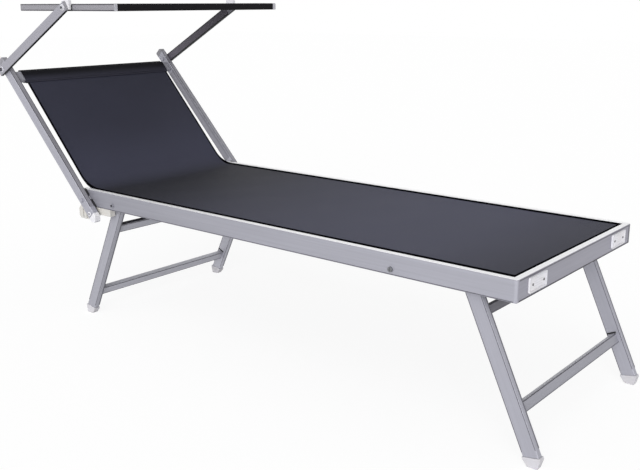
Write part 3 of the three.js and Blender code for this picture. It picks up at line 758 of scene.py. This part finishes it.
def make_sling():
    line = sling_line()
    runs = [0.0]
    for before, after in zip(line, line[1:]):
        runs.append(runs[-1] + (after - before).length)
    bend_run, bend_end = runs[SEAT_CELLS], runs[SEAT_CELLS + BEND_CELLS]
    shares = [eased((run - bend_run) / (bend_end - bend_run)) for run in runs]
    halves = [between(SEAT_SLING_HALF, BACK_SLING_HALF, share) for share in shares]
    widths = [between(SEAT_TAPE_WIDTH, BACK_TAPE_WIDTH, share) for share in shares]
    sling, length = cloth("sling", line, halves, WIDTH_CELLS, "sling", sling_dip(runs, shares))
    tapes = [edge_tape(side, line, halves, widths) for side in SIDES]
    for piece in (sling, *tapes):
        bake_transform(piece)
    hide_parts("seat_sling", "sling_bend", "back_sling")
    tapes.append(foot_tape(line))
    hem = make_hem()


SEAT_TAPE_WIDTH = 15 * MM
BACK_TAPE_WIDTH = 5.5 * MM
FOOT_TAPE_WIDTH = 7.5 * MM
TAPE_HEIGHT = 2.5 * MM
TAPE_RISE = 0.45 * MM
TAPE_ROUNDING = 1 * MM
TAPE_STEPS = 2


def edge_tape(side, line, halves, widths):
    """The black tape sewn round one long edge of the sling. Its width also paints the shadow in the gap
    beside the rail.
    """
    rings = []
    for point, normal, half, width in zip(line, line_normals(line), halves, widths):
        middle = point + ACROSS * (SIDES[side] * (half - width / 2))
        rings.append([middle + ACROSS * a + normal * (b + TAPE_RISE)
                      for a, b in rounded(width, TAPE_HEIGHT, TAPE_ROUNDING, TAPE_STEPS)])
    return sweep(f"sling_tape_{side}", rings, "tape")


def foot_tape(line):
    """The same tape along the sling's foot edge."""
    middle = line[0] + Vector((-FOOT_TAPE_WIDTH / 2, 0, TAPE_RISE))
    outline = rounded(FOOT_TAPE_WIDTH, TAPE_HEIGHT, TAPE_ROUNDING, TAPE_STEPS)
    end = SEAT_SLING_HALF - SEAT_TAPE_WIDTH
    rings = [[middle + Vector((a, y, b)) for a, b in outline] for y in (-end, end)]
    return attach(sweep("sling_tape_foot", rings, "tape"), "seat_frame")


# Hem: a sleeve sewn to the sheet and wrapped round the back's top bar

HEM_HALF = 275 * MM
HEM_GAP = 0.4 * MM
HEM_LAP = 6 * MM
HEM_LAP_STEP = 2 * MM
HEM_CELLS = 8
LAP_STEPS = 6
BAR_STEPS = 12
LAP_REACH_SHARE = 0.9
PIPING_RADIUS = 3.4 * MM
PIPING_RISE = 1 * MM
PIPING_STEPS = 8


def hem_line():
    """Up the front of the sheet, round the bar and down behind the sheet."""
    clear = HEM_GAP + FABRIC / 2
    depth = BAR_DEPTH / 2 + clear
    high = BAR_THICKNESS / 2 + clear
    low = BAR_UP - depth
    reach = high * LAP_REACH_SHARE
    lap_up = sheet_up(low) + FABRIC + HEM_GAP / 2
    back_up = sheet_up(low) - FABRIC - HEM_GAP / 2
    quarter = [math.pi / 2 * i / LAP_STEPS for i in range(LAP_STEPS + 1)]
    half_turn = [math.pi / 2 - math.pi * i / BAR_STEPS for i in range(BAR_STEPS + 1)]
    points = [(low - HEM_LAP, lap_up), (low - HEM_LAP_STEP, lap_up)]
    points += [(low + reach * (1 - math.cos(a)), between(lap_up, high, math.sin(a))) for a in quarter]
    points += [(BAR_UP + depth - high + math.cos(a) * high, math.sin(a) * high) for a in half_turn]
    points += [(low + reach * (1 - math.sin(a)), between(-high, back_up, 1 - math.cos(a)))
               for a in quarter]
    points += [(low - HEM_LAP_STEP, back_up), (low - HEM_LAP, back_up)]
    return [BACK.at(along, up) for along, up in points], lap_up + FABRIC / 2


def make_hem():
    line, lap_top = hem_line()
    hem = cloth("sling_hem", line, [HEM_HALF] * len(line), HEM_CELLS, "hem")[0]
    seam = BAR_UP - BAR_DEPTH / 2 - HEM_GAP - HEM_LAP / 2
    row = stitch_row("hem_stitches", BACK, seam, lap_top, HEM_HALF - ROW_MARGIN)
    crest = BAR_UP + BAR_DEPTH / 2 + HEM_GAP + FABRIC + PIPING_RISE
    rings = [[BACK.at(crest + b, a, y) for a, b in circle(PIPING_RADIUS, PIPING_STEPS)]
             for y in (-HEM_HALF, HEM_HALF)]
    piping = sweep("hem_piping", rings, "tape")
    return [attach(piece, "back_frame") for piece in (hem, row, piping)]


# Canopy: one cloth from under the front bar, over the top and round the rear bar

CANOPY_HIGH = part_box("canopy_fabric")[1]
FRONT_LOW, FRONT_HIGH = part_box("canopy_front_bar")
REAR_LOW, REAR_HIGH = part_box("canopy_rear_bar")
CANOPY_FABRIC = 1.3 * MM
SLEEVE_RADIUS = 3 * MM
SLEEVE_TAIL = 16 * MM
SLEEVE_GAP = 0.3 * MM
SLEEVE_STEPS = 5
TAIL_GAP = 0.2 * MM
SEAM_SHARE = 0.6
SEAM_SINK = 0.1 * MM
CANOPY_SAG = 4 * MM
CANOPY_HOLD_SHARE = 0.35
EDGE_TENSION = 0.85
CANOPY_RIPPLE = 0.3
CANOPY_WAVES = (9, 2, 5)
CANOPY_CELLS = 44
CANOPY_WIDTH_CELLS = 30


def sleeve_line(end):
    """From the sewn tail under the sheet, down the bar's inner side, round it and up to its top.
    end is 1 at the front and -1 at the rear."""
    gap = CANOPY_FABRIC / 2 + SLEEVE_GAP
    low, high = (FRONT_LOW, FRONT_HIGH) if end > 0 else (REAR_LOW, REAR_HIGH)
    inner, outer = (low.x - gap, high.x + gap) if end > 0 else (high.x + gap, low.x - gap)
    top, bottom = high.z + gap, low.z - gap
    tail_z = top - CANOPY_FABRIC - TAIL_GAP
    r = SLEEVE_RADIUS

    def arc(x, z, start, stop):
        """start and stop are in quarter turns."""
        angles = [math.pi / 2 * between(start, stop, i / SLEEVE_STEPS) for i in range(SLEEVE_STEPS + 1)]
        return [Vector((x + end * math.cos(a) * r, 0, z + math.sin(a) * r)) for a in angles]

    line = [Vector((inner - end * (SLEEVE_TAIL + r), 0, tail_z))]
    line += arc(inner - end * r, tail_z - r, 1, 0)
    line += arc(inner + end * r, bottom + r, 2, 3)
    line += arc(outer - end * r, bottom + r, -1, 0)
    line += arc(outer - end * r, top - r, 0, 1)
    return line


def make_canopy():
    front, rear = sleeve_line(1), sleeve_line(-1)
    span = [front[-1].lerp(rear[-1], i / CANOPY_CELLS) for i in range(1, CANOPY_CELLS)]
    line = front + span + rear[::-1]
    half = CANOPY_HIGH.y
    along_turns, slant, wide = CANOPY_WAVES

    def dip(i, share):
        along = (i - len(front) + 1) / CANOPY_CELLS
        if not 0 < along < 1:
            return 0.0
        held = eased(along / CANOPY_HOLD_SHARE) * eased((1 - along) / CANOPY_HOLD_SHARE)
        ripple = CANOPY_RIPPLE * math.sin(along * along_turns + share * slant) * math.sin(share * wide)
        return -CANOPY_SAG * held * (1 + ripple) * (1 - EDGE_TENSION * share * share)

    canopy, length = cloth("canopy_cloth", line, [half] * len(line), CANOPY_WIDTH_CELLS, "canopy", dip,
                           CANOPY_FABRIC)
    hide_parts("canopy_fabric")
    seam_up = CANOPY_HIGH.z - SEAM_SINK
    rows = []
    for name, end, bar in (("front", 1, FRONT_LOW.x), ("rear", -1, REAR_HIGH.x)):
        along = bar - end * SLEEVE_TAIL * SEAM_SHARE
        rows.append(stitch_row(f"canopy_{name}_stitches", CANOPY, along, seam_up, half - ROW_MARGIN))
    for piece in (canopy, *rows):
        attach(piece, "canopy_frame")


# Thin strips and the faces that they lie on

SKIN = 0.25 * MM


def skin(face, depth=SKIN):
    """Where a thin strip that straddles a face starts and ends."""
    return face - depth, face + depth


def faces_of(kind, side):
    """The places in Y of a piece's inner and outer face."""
    low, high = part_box(f"{kind}_{side}")
    return (low.y, high.y) if side == "left" else (high.y, low.y)


def middle_of(node):
    low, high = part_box(node)
    return (low + high) / 2


def strip(name, place, span, across, up, look, slot="aluminium"):
    """A slim straight strip on a piece. span, across and up each give where it starts and ends."""
    outline = [(across[0], up[0]), (across[1], up[0]), (across[1], up[1]), (across[0], up[1])]
    length = span[1] - span[0]
    made = plate(name, [outline], place.at(span[0], 0), ACROSS, place.up, length, look, place.body, slot)
    if (ACROSS.cross(place.up)).dot(place.along) < 0:
        made.data.transform(Matrix.Translation(place.along * length))
    return made


# Screw heads, rings and caps

HEAD_RADIUS = 5.6 * MM
SMALL_HEAD_RADIUS = 3.6 * MM
HEAD_HEIGHT = 1.2 * MM
HEAD_ROUND_SHARE = 0.45
HEAD_SEGMENTS = 3
CROSS_REACH = 3.2 * MM
CROSS_WIDTH = 1.3 * MM
RING_RADIUS = 8.4 * MM
RING_INNER_RADIUS = 6.2 * MM
RING_HEIGHT = 1.6 * MM
RING_ROUND_SHARE = 0.3
RING_STEPS = 32
SHOE_SCREW_AT = -48 * MM
SHOE_SCREW_RADIUS = 2.6 * MM
SHOE_SCREW_HEIGHT = 0.6 * MM


def outward(side):
    """Directions on the outer face of one side: u and v in the face, and u x v pointing out."""
    return Vector((SIDES[side], 0, 0)), Vector((0, 0, -1))


def screw_cap(name, centre, side, look, body, radius, height=HEAD_HEIGHT, crossed=True):
    """A low round cap on a bolt's head, with a cross recess cut through it."""
    outlines = [circle(radius)]
    if crossed:
        share = radius / HEAD_RADIUS
        outlines.append(cross(CROSS_REACH * share, CROSS_WIDTH * share))
    cap = plate(name, outlines, centre, *outward(side), height, look, body, "steel")
    round_off(cap, height * HEAD_ROUND_SHARE, HEAD_SEGMENTS)


def nylon_ring(name, centre, side, body):
    outlines = [circle(RING_RADIUS, RING_STEPS), circle(RING_INNER_RADIUS, RING_STEPS)]
    made = plate(name, outlines, centre, *outward(side), RING_HEIGHT, "nylon", body, "white_nylon")
    round_off(made, RING_HEIGHT * RING_ROUND_SHARE)


def dress_bolts():
    caps = {
        "arm_bolt": (ARM_PIVOT, "back_frame", "dark_steel", HEAD_RADIUS),
        "canopy_bolt": (CANOPY_PIVOT, "canopy_arms", "dark_steel", SMALL_HEAD_RADIUS),
        "head_leg_bolt": (HEAD_PIVOT, "seat_frame", "dark_steel", SMALL_HEAD_RADIUS),
        "back_pivot_bolt": (BACK_PIVOT, "seat_frame", "back", HEAD_RADIUS),
        "spreader_screw": (middle_of("spreader_screw_left"), "seat_frame", "steel", HEAD_RADIUS),
    }
    for kind, (pivot, body, look, radius) in caps.items():
        for side in SIDES:
            centre = Vector((pivot.x, faces_of(kind, side)[1], pivot.z))
            screw_cap(f"{kind}_cap_{side}", centre, side, look, body, radius,
                      crossed=kind != "back_pivot_bolt")
            if kind in ("arm_bolt", "canopy_bolt"):
                centre = Vector((pivot.x, faces_of("canopy_arm", side)[1], pivot.z))
                nylon_ring(f"{kind}_ring_{side}", centre, side, body)


def shoe_screws():
    for side in SIDES:
        centre = BACK.at(SHOE_SCREW_AT, 0, faces_of("back_shoe", side)[1])
        screw_cap(f"shoe_screw_{side}", centre, side, "dark_steel", "back_frame", SHOE_SCREW_RADIUS,
                  SHOE_SCREW_HEIGHT)


# Plugs that close the tubes' ends

PLUG_HEIGHT = 1.4 * MM
PLUG_INSET = 0.25 * MM
PLUG_CORNER = 2 * MM
PLUG_EDGE = 0.6 * MM
ARM_ENDS = (-17 * MM, 383.5 * MM)
LEG_TOP = -15 * MM

# The width in Y and the depth of each tube
ARM_WIDTH, ARM_DEPTH = 9 * MM, 26.8 * MM
RAIL_WIDTH, RAIL_DEPTH = 10 * MM, 19 * MM
LEG_WIDTH, LEG_DEPTH = 15 * MM, 35 * MM


def end_plug(name, place, spot, end, width, depth, look="plug"):
    """A moulded plug in a tube's end, which faces along the place, or against it where end is -1."""
    outline = rounded(width - 2 * PLUG_INSET, depth - 2 * PLUG_INSET, PLUG_CORNER)
    v = (place.along * end).cross(ACROSS).normalized()
    made = plate(name, [outline], place.at(*spot), ACROSS, v, PLUG_HEIGHT, look, place.body,
                 "grey_plastic")
    round_off(made, PLUG_EDGE)


def plug_tubes():
    for side in SIDES:
        y = middle_of(f"canopy_arm_{side}").y
        for name, end, at in (("top", 1, ARM_ENDS[1]), ("tail", -1, ARM_ENDS[0])):
            end_plug(f"arm_plug_{name}_{side}", ARM, (at, 0, y), end, ARM_WIDTH, ARM_DEPTH, "cap")
        low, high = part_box(f"canopy_side_rail_{side}")
        middle = (low + high) / 2
        for name, end, x in (("front", 1, high.x), ("rear", -1, low.x)):
            end_plug(f"canopy_plug_{name}_{side}", CANOPY, (x, middle.z, middle.y), end, RAIL_WIDTH,
                     RAIL_DEPTH)
        for name, place in LEGS.items():
            y = middle_of(f"{name}_leg_{side}").y
            end_plug(f"{name}_leg_plug_{side}", place, (LEG_TOP, 0, y), -1, LEG_WIDTH, LEG_DEPTH, "cap")


# Seat frame: painted light at the foot corners, lines of painted shade and the white plates

RAIL_LOW, RAIL_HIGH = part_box("side_rail_left")
FOOT_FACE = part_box("foot_rail")[1].x
CORNER_RADIUS = 8 * MM
RAIL_EDGE = 1.5 * MM
RAIL_LINE = 1.8 * MM
RAIL_LINE_START = 2 * MM
SHADE_LINE_HEIGHT = 2.8 * MM
FAR_SHADE_BAND = 7 * MM

# Where the band of each foot corner starts and ends, in degrees from the foot face, and its look:
# a painted highlight on the right corner, painted shade all round the left one
CORNER_PAINTED_LIGHT = {"right": (28, 55, "corner"), "left": (0, 90, "shade_line")}
CORNER_STEPS = 10


def corner_skins():
    """Each foot corner of the frame carries a thin band of another tone: a painted highlight on the right
    corner, and painted shade on the left one.
    """
    low, high = RAIL_LOW.z + RAIL_EDGE, RAIL_HIGH.z - RAIL_EDGE
    for side, (start, end, look) in CORNER_PAINTED_LIGHT.items():
        sign = SIDES[side]
        centre = Vector((FOOT_FACE - CORNER_RADIUS, sign * (RAIL_HIGH.y - CORNER_RADIUS), low))
        angles = [math.radians(between(start, end, i / CORNER_STEPS)) for i in range(CORNER_STEPS + 1)]
        arc = [(math.cos(angle), sign * math.sin(angle)) for angle in angles]
        inner, outer = skin(CORNER_RADIUS)
        outline = [(a * outer, b * outer) for a, b in arc]
        outline += [(a * inner, b * inner) for a, b in arc[::-1]]
        plate(f"corner_skin_{side}", [outline], centre, AHEAD, ACROSS, high - low, look, "seat_frame",
              "aluminium")


def dress_side_rails():
    """A dark line of painted shade runs along the lower edge of each side rail."""
    low = RAIL_LOW.z + RAIL_EDGE
    for side, sign in SIDES.items():
        strip(f"side_rail_line_{side}", SEAT, (RAIL_LOW.x + RAIL_LINE_START, FOOT_FACE - CORNER_RADIUS),
              skin(sign * RAIL_HIGH.y), (low, low + RAIL_LINE), "shade_line")


def dress_foot_rail():
    """Dark lines of painted shade run along each edge of the foot rail, and painted shade darkens its left
    end too.
    """
    inside = RAIL_HIGH.y - CORNER_RADIUS
    low, high = RAIL_LOW.z + RAIL_EDGE, RAIL_HIGH.z - RAIL_EDGE
    strips = {
        "upper_shade_line": (-inside, high - SHADE_LINE_HEIGHT, high, "shade_line"),
        "lower_shade_line": (-inside, low, low + SHADE_LINE_HEIGHT, "dark_shade_line"),
        "left_shade_band": (inside - FAR_SHADE_BAND, low + SHADE_LINE_HEIGHT, high - SHADE_LINE_HEIGHT, "shade_line"),
    }
    for name, (start, bottom, top, look) in strips.items():
        strip(f"foot_rail_{name}", SEAT, skin(FOOT_FACE), (start, inside), (bottom, top), look)


FIELD_INSET = 3.6 * MM
FIELD_RISE = 0.35 * MM
FIELD_CORNER = 1.5 * MM
FIELD_RIBS = 5
RIB_WIDTH = 1.1 * MM
RIB_RISE = 0.35 * MM
RIB_CORNER = 0.4 * MM
PLATE_SCREW_INSET = 13.5 * MM
PLATE_SCREW_RADIUS = 2.6 * MM
PLATE_SCREW_HEIGHT = 1.25 * MM
PLATE_SCREW_STEPS = 16
PLATE_CROSS = (1.4 * MM, 0.5 * MM)
PLATE_RIM_HEIGHT = 1.4 * MM


def dress_plates():
    """Inside its rim each white plate has a duller ribbed field and two dark screws."""
    for side in SIDES:
        low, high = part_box(f"foot_plate_{side}")
        middle = (low + high) / 2
        middle.x = high.x - PLATE_RIM_HEIGHT
        width, height = high.y - low.y - 2 * FIELD_INSET, high.z - low.z - 2 * FIELD_INSET
        plate(f"plate_field_{side}", [rounded(width, height, FIELD_CORNER)], middle, ACROSS, UP,
              FIELD_RISE, "plate_field", "seat_frame", "white_nylon")
        reach = width / 2 - (PLATE_SCREW_INSET - FIELD_INSET)
        bar = rounded(2 * reach - 4 * PLATE_SCREW_RADIUS, RIB_WIDTH, RIB_CORNER)
        for i in range(FIELD_RIBS):
            centre = middle + UP * (height * ((i + 0.5) / FIELD_RIBS - 0.5))
            plate(f"plate_rib_{i}_{side}", [bar], centre, ACROSS, UP, FIELD_RISE + RIB_RISE, "nylon",
                  "seat_frame", "white_nylon")
        head = [circle(PLATE_SCREW_RADIUS, PLATE_SCREW_STEPS), cross(*PLATE_CROSS)]
        for name, shift in (("right", -reach), ("left", reach)):
            plate(f"plate_screw_{name}_{side}", head, middle + ACROSS * shift, ACROSS, UP,
                  PLATE_SCREW_HEIGHT, "black_steel", "seat_frame", "steel")


# Canopy: painted shade on the arms, painted shadow at the knuckles and lines of painted shade on the rails

ARM_EDGE = 3 * MM
ARM_SHADE_SKIN = 0.5 * MM
ARM_END_GAP = 1 * MM
ARM_SHADE_END = 348.5 * MM
KNUCKLE_SHADOW_MARGIN = 3 * MM
KNUCKLE_SHADOW_DROP = 13 * MM
KNUCKLE_SHADOW_THICKNESS = 1.6 * MM
KNUCKLE_SHADOW_EDGE = 0.5 * MM
CANOPY_LINE = 2.2 * MM
CANOPY_LINE_INSET = 0.8 * MM
CANOPY_LINE_GAP = 1 * MM


def dress_arms():
    """Strips of painted shade darken each arm's inner side, the edges along it and its underside."""
    half = ARM_DEPTH / 2
    clear = (RING_RADIUS + ARM_END_GAP, ARM_SHADE_END)
    whole = (ARM_ENDS[0] + ARM_END_GAP, ARM_ENDS[1] - ARM_END_GAP)
    shade_edges = {"lower": (SKIN - half, ARM_EDGE - half), "upper": (half - ARM_EDGE, half - SKIN)}
    for side, sign in SIDES.items():
        inner, outer = faces_of("canopy_arm", side)
        face = skin(inner, ARM_SHADE_SKIN)
        strip(f"arm_inner_shade_{side}", ARM, clear, face, (ARM_EDGE - half, half - ARM_EDGE),
              "arm_inside_painted_shade", "grey_plastic")
        for edge, up in shade_edges.items():
            strip(f"arm_edge_shade_{edge}_{side}", ARM, clear, face, up, "black")
        across = (inner + sign * ARM_END_GAP, outer - sign * ARM_END_GAP)
        strip(f"arm_underside_{side}", ARM, whole, across, skin(-half, ARM_SHADE_SKIN), "black")


def knuckle_edge_shadows():
    """A thin dark strip round each knuckle, against the canopy's side rail, is painted shadow."""
    for side, sign in SIDES.items():
        low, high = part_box(f"canopy_knuckle_{side}")
        inner = faces_of("canopy_knuckle", side)[0]
        edge_shadow = strip(f"knuckle_edge_shadow_{side}", CANOPY, (low.x, high.x + KNUCKLE_SHADOW_MARGIN),
                    (inner - sign * SKIN, inner + sign * KNUCKLE_SHADOW_THICKNESS),
                    (low.z - KNUCKLE_SHADOW_MARGIN, high.z - KNUCKLE_SHADOW_DROP), "black", "grey_plastic")
        round_off(edge_shadow, KNUCKLE_SHADOW_EDGE)


def dress_canopy_rails():
    """A dark line of painted shade runs along the upper and lower edge of each canopy rail."""
    for side in SIDES:
        low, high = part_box(f"canopy_side_rail_{side}")
        face = skin(faces_of("canopy_side_rail", side)[1])
        span = (low.x + CANOPY_LINE_GAP, high.x - CANOPY_LINE_GAP)
        bottom, top = low.z + CANOPY_LINE_INSET, high.z - CANOPY_LINE_INSET
        for edge, up in (("lower", (bottom, bottom + CANOPY_LINE)), ("upper", (top - CANOPY_LINE, top))):
            strip(f"canopy_rail_line_{edge}_{side}", CANOPY, span, face, up, "dark_shade_line")


# Back tubes: painted shadow by the rails, and painted shade on faces and in lines

TUBE_HALF = 14.5 * MM
TUBE_SHADOW_SPANS = {"lower": (-36 * MM, -10 * MM), "upper": (10 * MM, 29 * MM)}
TUBE_SHADOW_THICKNESS = 6.2 * MM
TUBE_SHADOW_INSETS = (2 * MM, 1 * MM)
TUBE_SHADOW_EDGE = 0.8 * MM
TUBE_LINE = 1.8 * MM
TUBE_LINE_INSET = 1.2 * MM
TUBE_SPAN = (-34 * MM, 510 * MM)
TUBE_INSIDE_SPAN = (45 * MM, 430 * MM)
TUBE_INSIDE_LINE = (7 * MM, 7 * MM + TUBE_LINE)


def back_shadow_strips():
    """Black strips between the back tubes and the side rails, above and below the pivot: painted shadow.
    """
    for side, sign in SIDES.items():
        face = faces_of("back_tube", side)[0]
        for place, span in TUBE_SHADOW_SPANS.items():
            shadow_strip = strip(f"back_slide_{place}_{side}", BACK, span,
                          (face - sign * TUBE_SHADOW_THICKNESS, face + sign * SKIN),
                          (TUBE_SHADOW_INSETS[0] - TUBE_HALF, TUBE_HALF - TUBE_SHADOW_INSETS[1]), "black",
                          "grey_plastic")
            round_off(shadow_strip, TUBE_SHADOW_EDGE)


def dress_back_tubes():
    """Each back tube's front is painted in shade between two dark lines, and its inner side is painted in
    shade with one line; the lines are painted shade too.
    """
    front = skin(TUBE_HALF)
    reach = TUBE_HALF - TUBE_LINE_INSET
    for side in SIDES:
        low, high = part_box(f"back_tube_{side}")
        near, far = low.y + TUBE_LINE_INSET, high.y - TUBE_LINE_INSET
        inner = faces_of("back_tube", side)[0]
        strips = {
            "front": (TUBE_SPAN, (near + TUBE_LINE, far - TUBE_LINE), front, "back_front_painted_shade"),
            "line_right": (TUBE_SPAN, (near, near + TUBE_LINE), front, "dark_shade_line"),
            "line_left": (TUBE_SPAN, (far - TUBE_LINE, far), front, "dark_shade_line"),
            "inside": (TUBE_INSIDE_SPAN, skin(inner), (-reach, reach), "back_inside_painted_shade"),
            "inside_line": (TUBE_INSIDE_SPAN, skin(inner, 2 * SKIN), TUBE_INSIDE_LINE, "shade_line"),
        }
        for name, values in strips.items():
            strip(f"back_tube_{name}_{side}", BACK, *values)


# Legs: lines of painted shade on the tubes and bars, and painted light and shade on the bars' tops

LEG_SPANS = {"foot": (8 * MM, 360 * MM), "head": (8 * MM, 363 * MM)}
LEG_LINE = 1.6 * MM
LEG_LINE_INSET = 0.8 * MM
LEG_SHADE_WIDTH = 4 * MM

# Each cross bar: how far down the leg it lies, its depth and the look of its upper face, which is
# a painted highlight on the low bars and painted shade on the top bars
BARS = {
    "head_top": (87 * MM, 26 * MM, "dark_shade_line"),
    "head_low": (320.5 * MM, 26 * MM, "bright"),
    "foot_top": (67 * MM, 20 * MM, "black"),
    "foot_low": (277 * MM, 24 * MM, "bright"),
}
BAR_HALF_THICKNESS = 7 * MM
BAR_EDGE = 2 * MM
BAR_SHADE_LINE = 1.6 * MM
NOTCH_LENGTH = 4 * MM
NOTCH_UP = (-15 * MM, 8 * MM)
NOTCH_RISE = 0.6 * MM


def dress_bars():
    """A dark line of painted shade runs along both edges of each cross bar's front. The low bars' tops
    carry a painted highlight and the top bars' tops painted shade; the dark notch above each end of a bar
    is painted shade.
    """
    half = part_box("foot_leg_low_bar")[1].y
    width = (-half, half)
    front = skin(BAR_HALF_THICKNESS)
    upper = (BAR_EDGE - BAR_HALF_THICKNESS, BAR_HALF_THICKNESS - BAR_EDGE)
    for name, (reach, depth, look) in BARS.items():
        place = LEGS[name.split("_")[0]]
        top, bottom = reach - depth / 2, reach + depth / 2
        first, last = top + BAR_EDGE / 2, bottom - BAR_EDGE / 2
        strip(f"{name}_bar_upper_line", place, (first, first + BAR_SHADE_LINE), width, front, "dark_shade_line")
        strip(f"{name}_bar_lower_line", place, (last - BAR_SHADE_LINE, last), width, front, "shade_line")
        strip(f"{name}_bar_upper_face", place, skin(top), width, upper, look)
        for side, sign in SIDES.items():
            across = (sign * (half - NOTCH_RISE), sign * (half + SKIN))
            strip(f"{name}_notch_{side}", place, (top - NOTCH_LENGTH, top), across, NOTCH_UP, "black",
                  "grey_plastic")


def dress_legs():
    """The legs are ribbed tubes with lines of painted shade: a fine dark line runs near each edge of the
    side faces, and a wider one along the left edge of the front."""
    half = LEG_DEPTH / 2
    at = half - LEG_LINE_INSET
    for name, place in LEGS.items():
        span = LEG_SPANS[name]
        for side in SIDES:
            leg = f"{name}_leg_{side}"
            low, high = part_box(leg)
            for face, y in (("right", low.y), ("left", high.y)):
                for edge, up in (("back", (-at, LEG_LINE - at)), ("front", (at - LEG_LINE, at))):
                    strip(f"{leg}_{face}_{edge}_line", place, span, skin(y), up, "shade_line")
            across = (high.y - LEG_SHADE_WIDTH, high.y)
            strip(f"{leg}_front_line", place, span, across, skin(half), "shade_line")


for step in (make_camera, dress_nodes, make_sling, make_canopy, dress_bolts, plug_tubes, corner_skins,
             dress_side_rails, dress_foot_rail, dress_plates, dress_arms, knuckle_edge_shadows, back_shadow_strips,
             dress_bars, dress_legs, dress_back_tubes, dress_canopy_rails, shoe_screws):
    step()

# Stage: a pale floor that keeps a faint shadow, and soft light

FLOOR_SIZE = 40.0
FLOOR_TINT = (0.85, 0.85, 0.86)
WHITE = (1, 1, 1)
SHADOW_SHARE = 0.16
FLOOR_GLOW = 1.045
BACKDROP_GLOW = 1.0
WORLD_LIGHT = 0.42
MIX = "ShaderNodeMixShader"

# Each lamp: its strength, its spread in degrees and the direction that it shines from
LAMPS = {
    "key": (0.85, 60, Vector((0.25, -0.7, 0.65))),
    "fill": (1.9, 40, Vector((0.5, -0.8, 0.2))),
}


def make_floor():
    mesh = bpy.data.meshes.new("floor")
    half = FLOOR_SIZE / 2
    mesh.from_pydata([(-half, -half, 0), (half, -half, 0), (half, half, 0), (-half, half, 0)], [],
                     [(0, 1, 2, 3)])
    make = Shader("floor")
    plain = make.named("ShaderNodeBsdfDiffuse", Color=FLOOR_TINT)
    pale = make.named("ShaderNodeBsdfDiffuse", Color=WHITE)
    glow = make.named("ShaderNodeEmission", Color=WHITE, Strength=FLOOR_GLOW)
    shown = make.fed(MIX, SHADOW_SHARE, glow, pale)
    mesh.materials.append(make.end(make.fed(MIX, make.seen_directly(), plain, shown)))
    show("floor", mesh)


def make_light():
    make = Shader("studio", world=True)
    light = make.named("ShaderNodeBackground", Color=WHITE, Strength=WORLD_LIGHT)
    backdrop = make.named("ShaderNodeBackground", Color=WHITE, Strength=BACKDROP_GLOW)
    shown = make.fed(MIX, make.seen_directly(), light, backdrop)
    bpy.context.scene.world = make.end(shown)
    for name, (energy, spread, towards) in LAMPS.items():
        sun = bpy.data.lights.new(name, "SUN")
        sun.energy = energy
        sun.angle = math.radians(spread)
        show(name, sun).rotation_euler = towards.to_track_quat("Z", "Y").to_euler()
    bpy.context.scene.view_settings.view_transform = "Standard"


make_floor()
make_light()
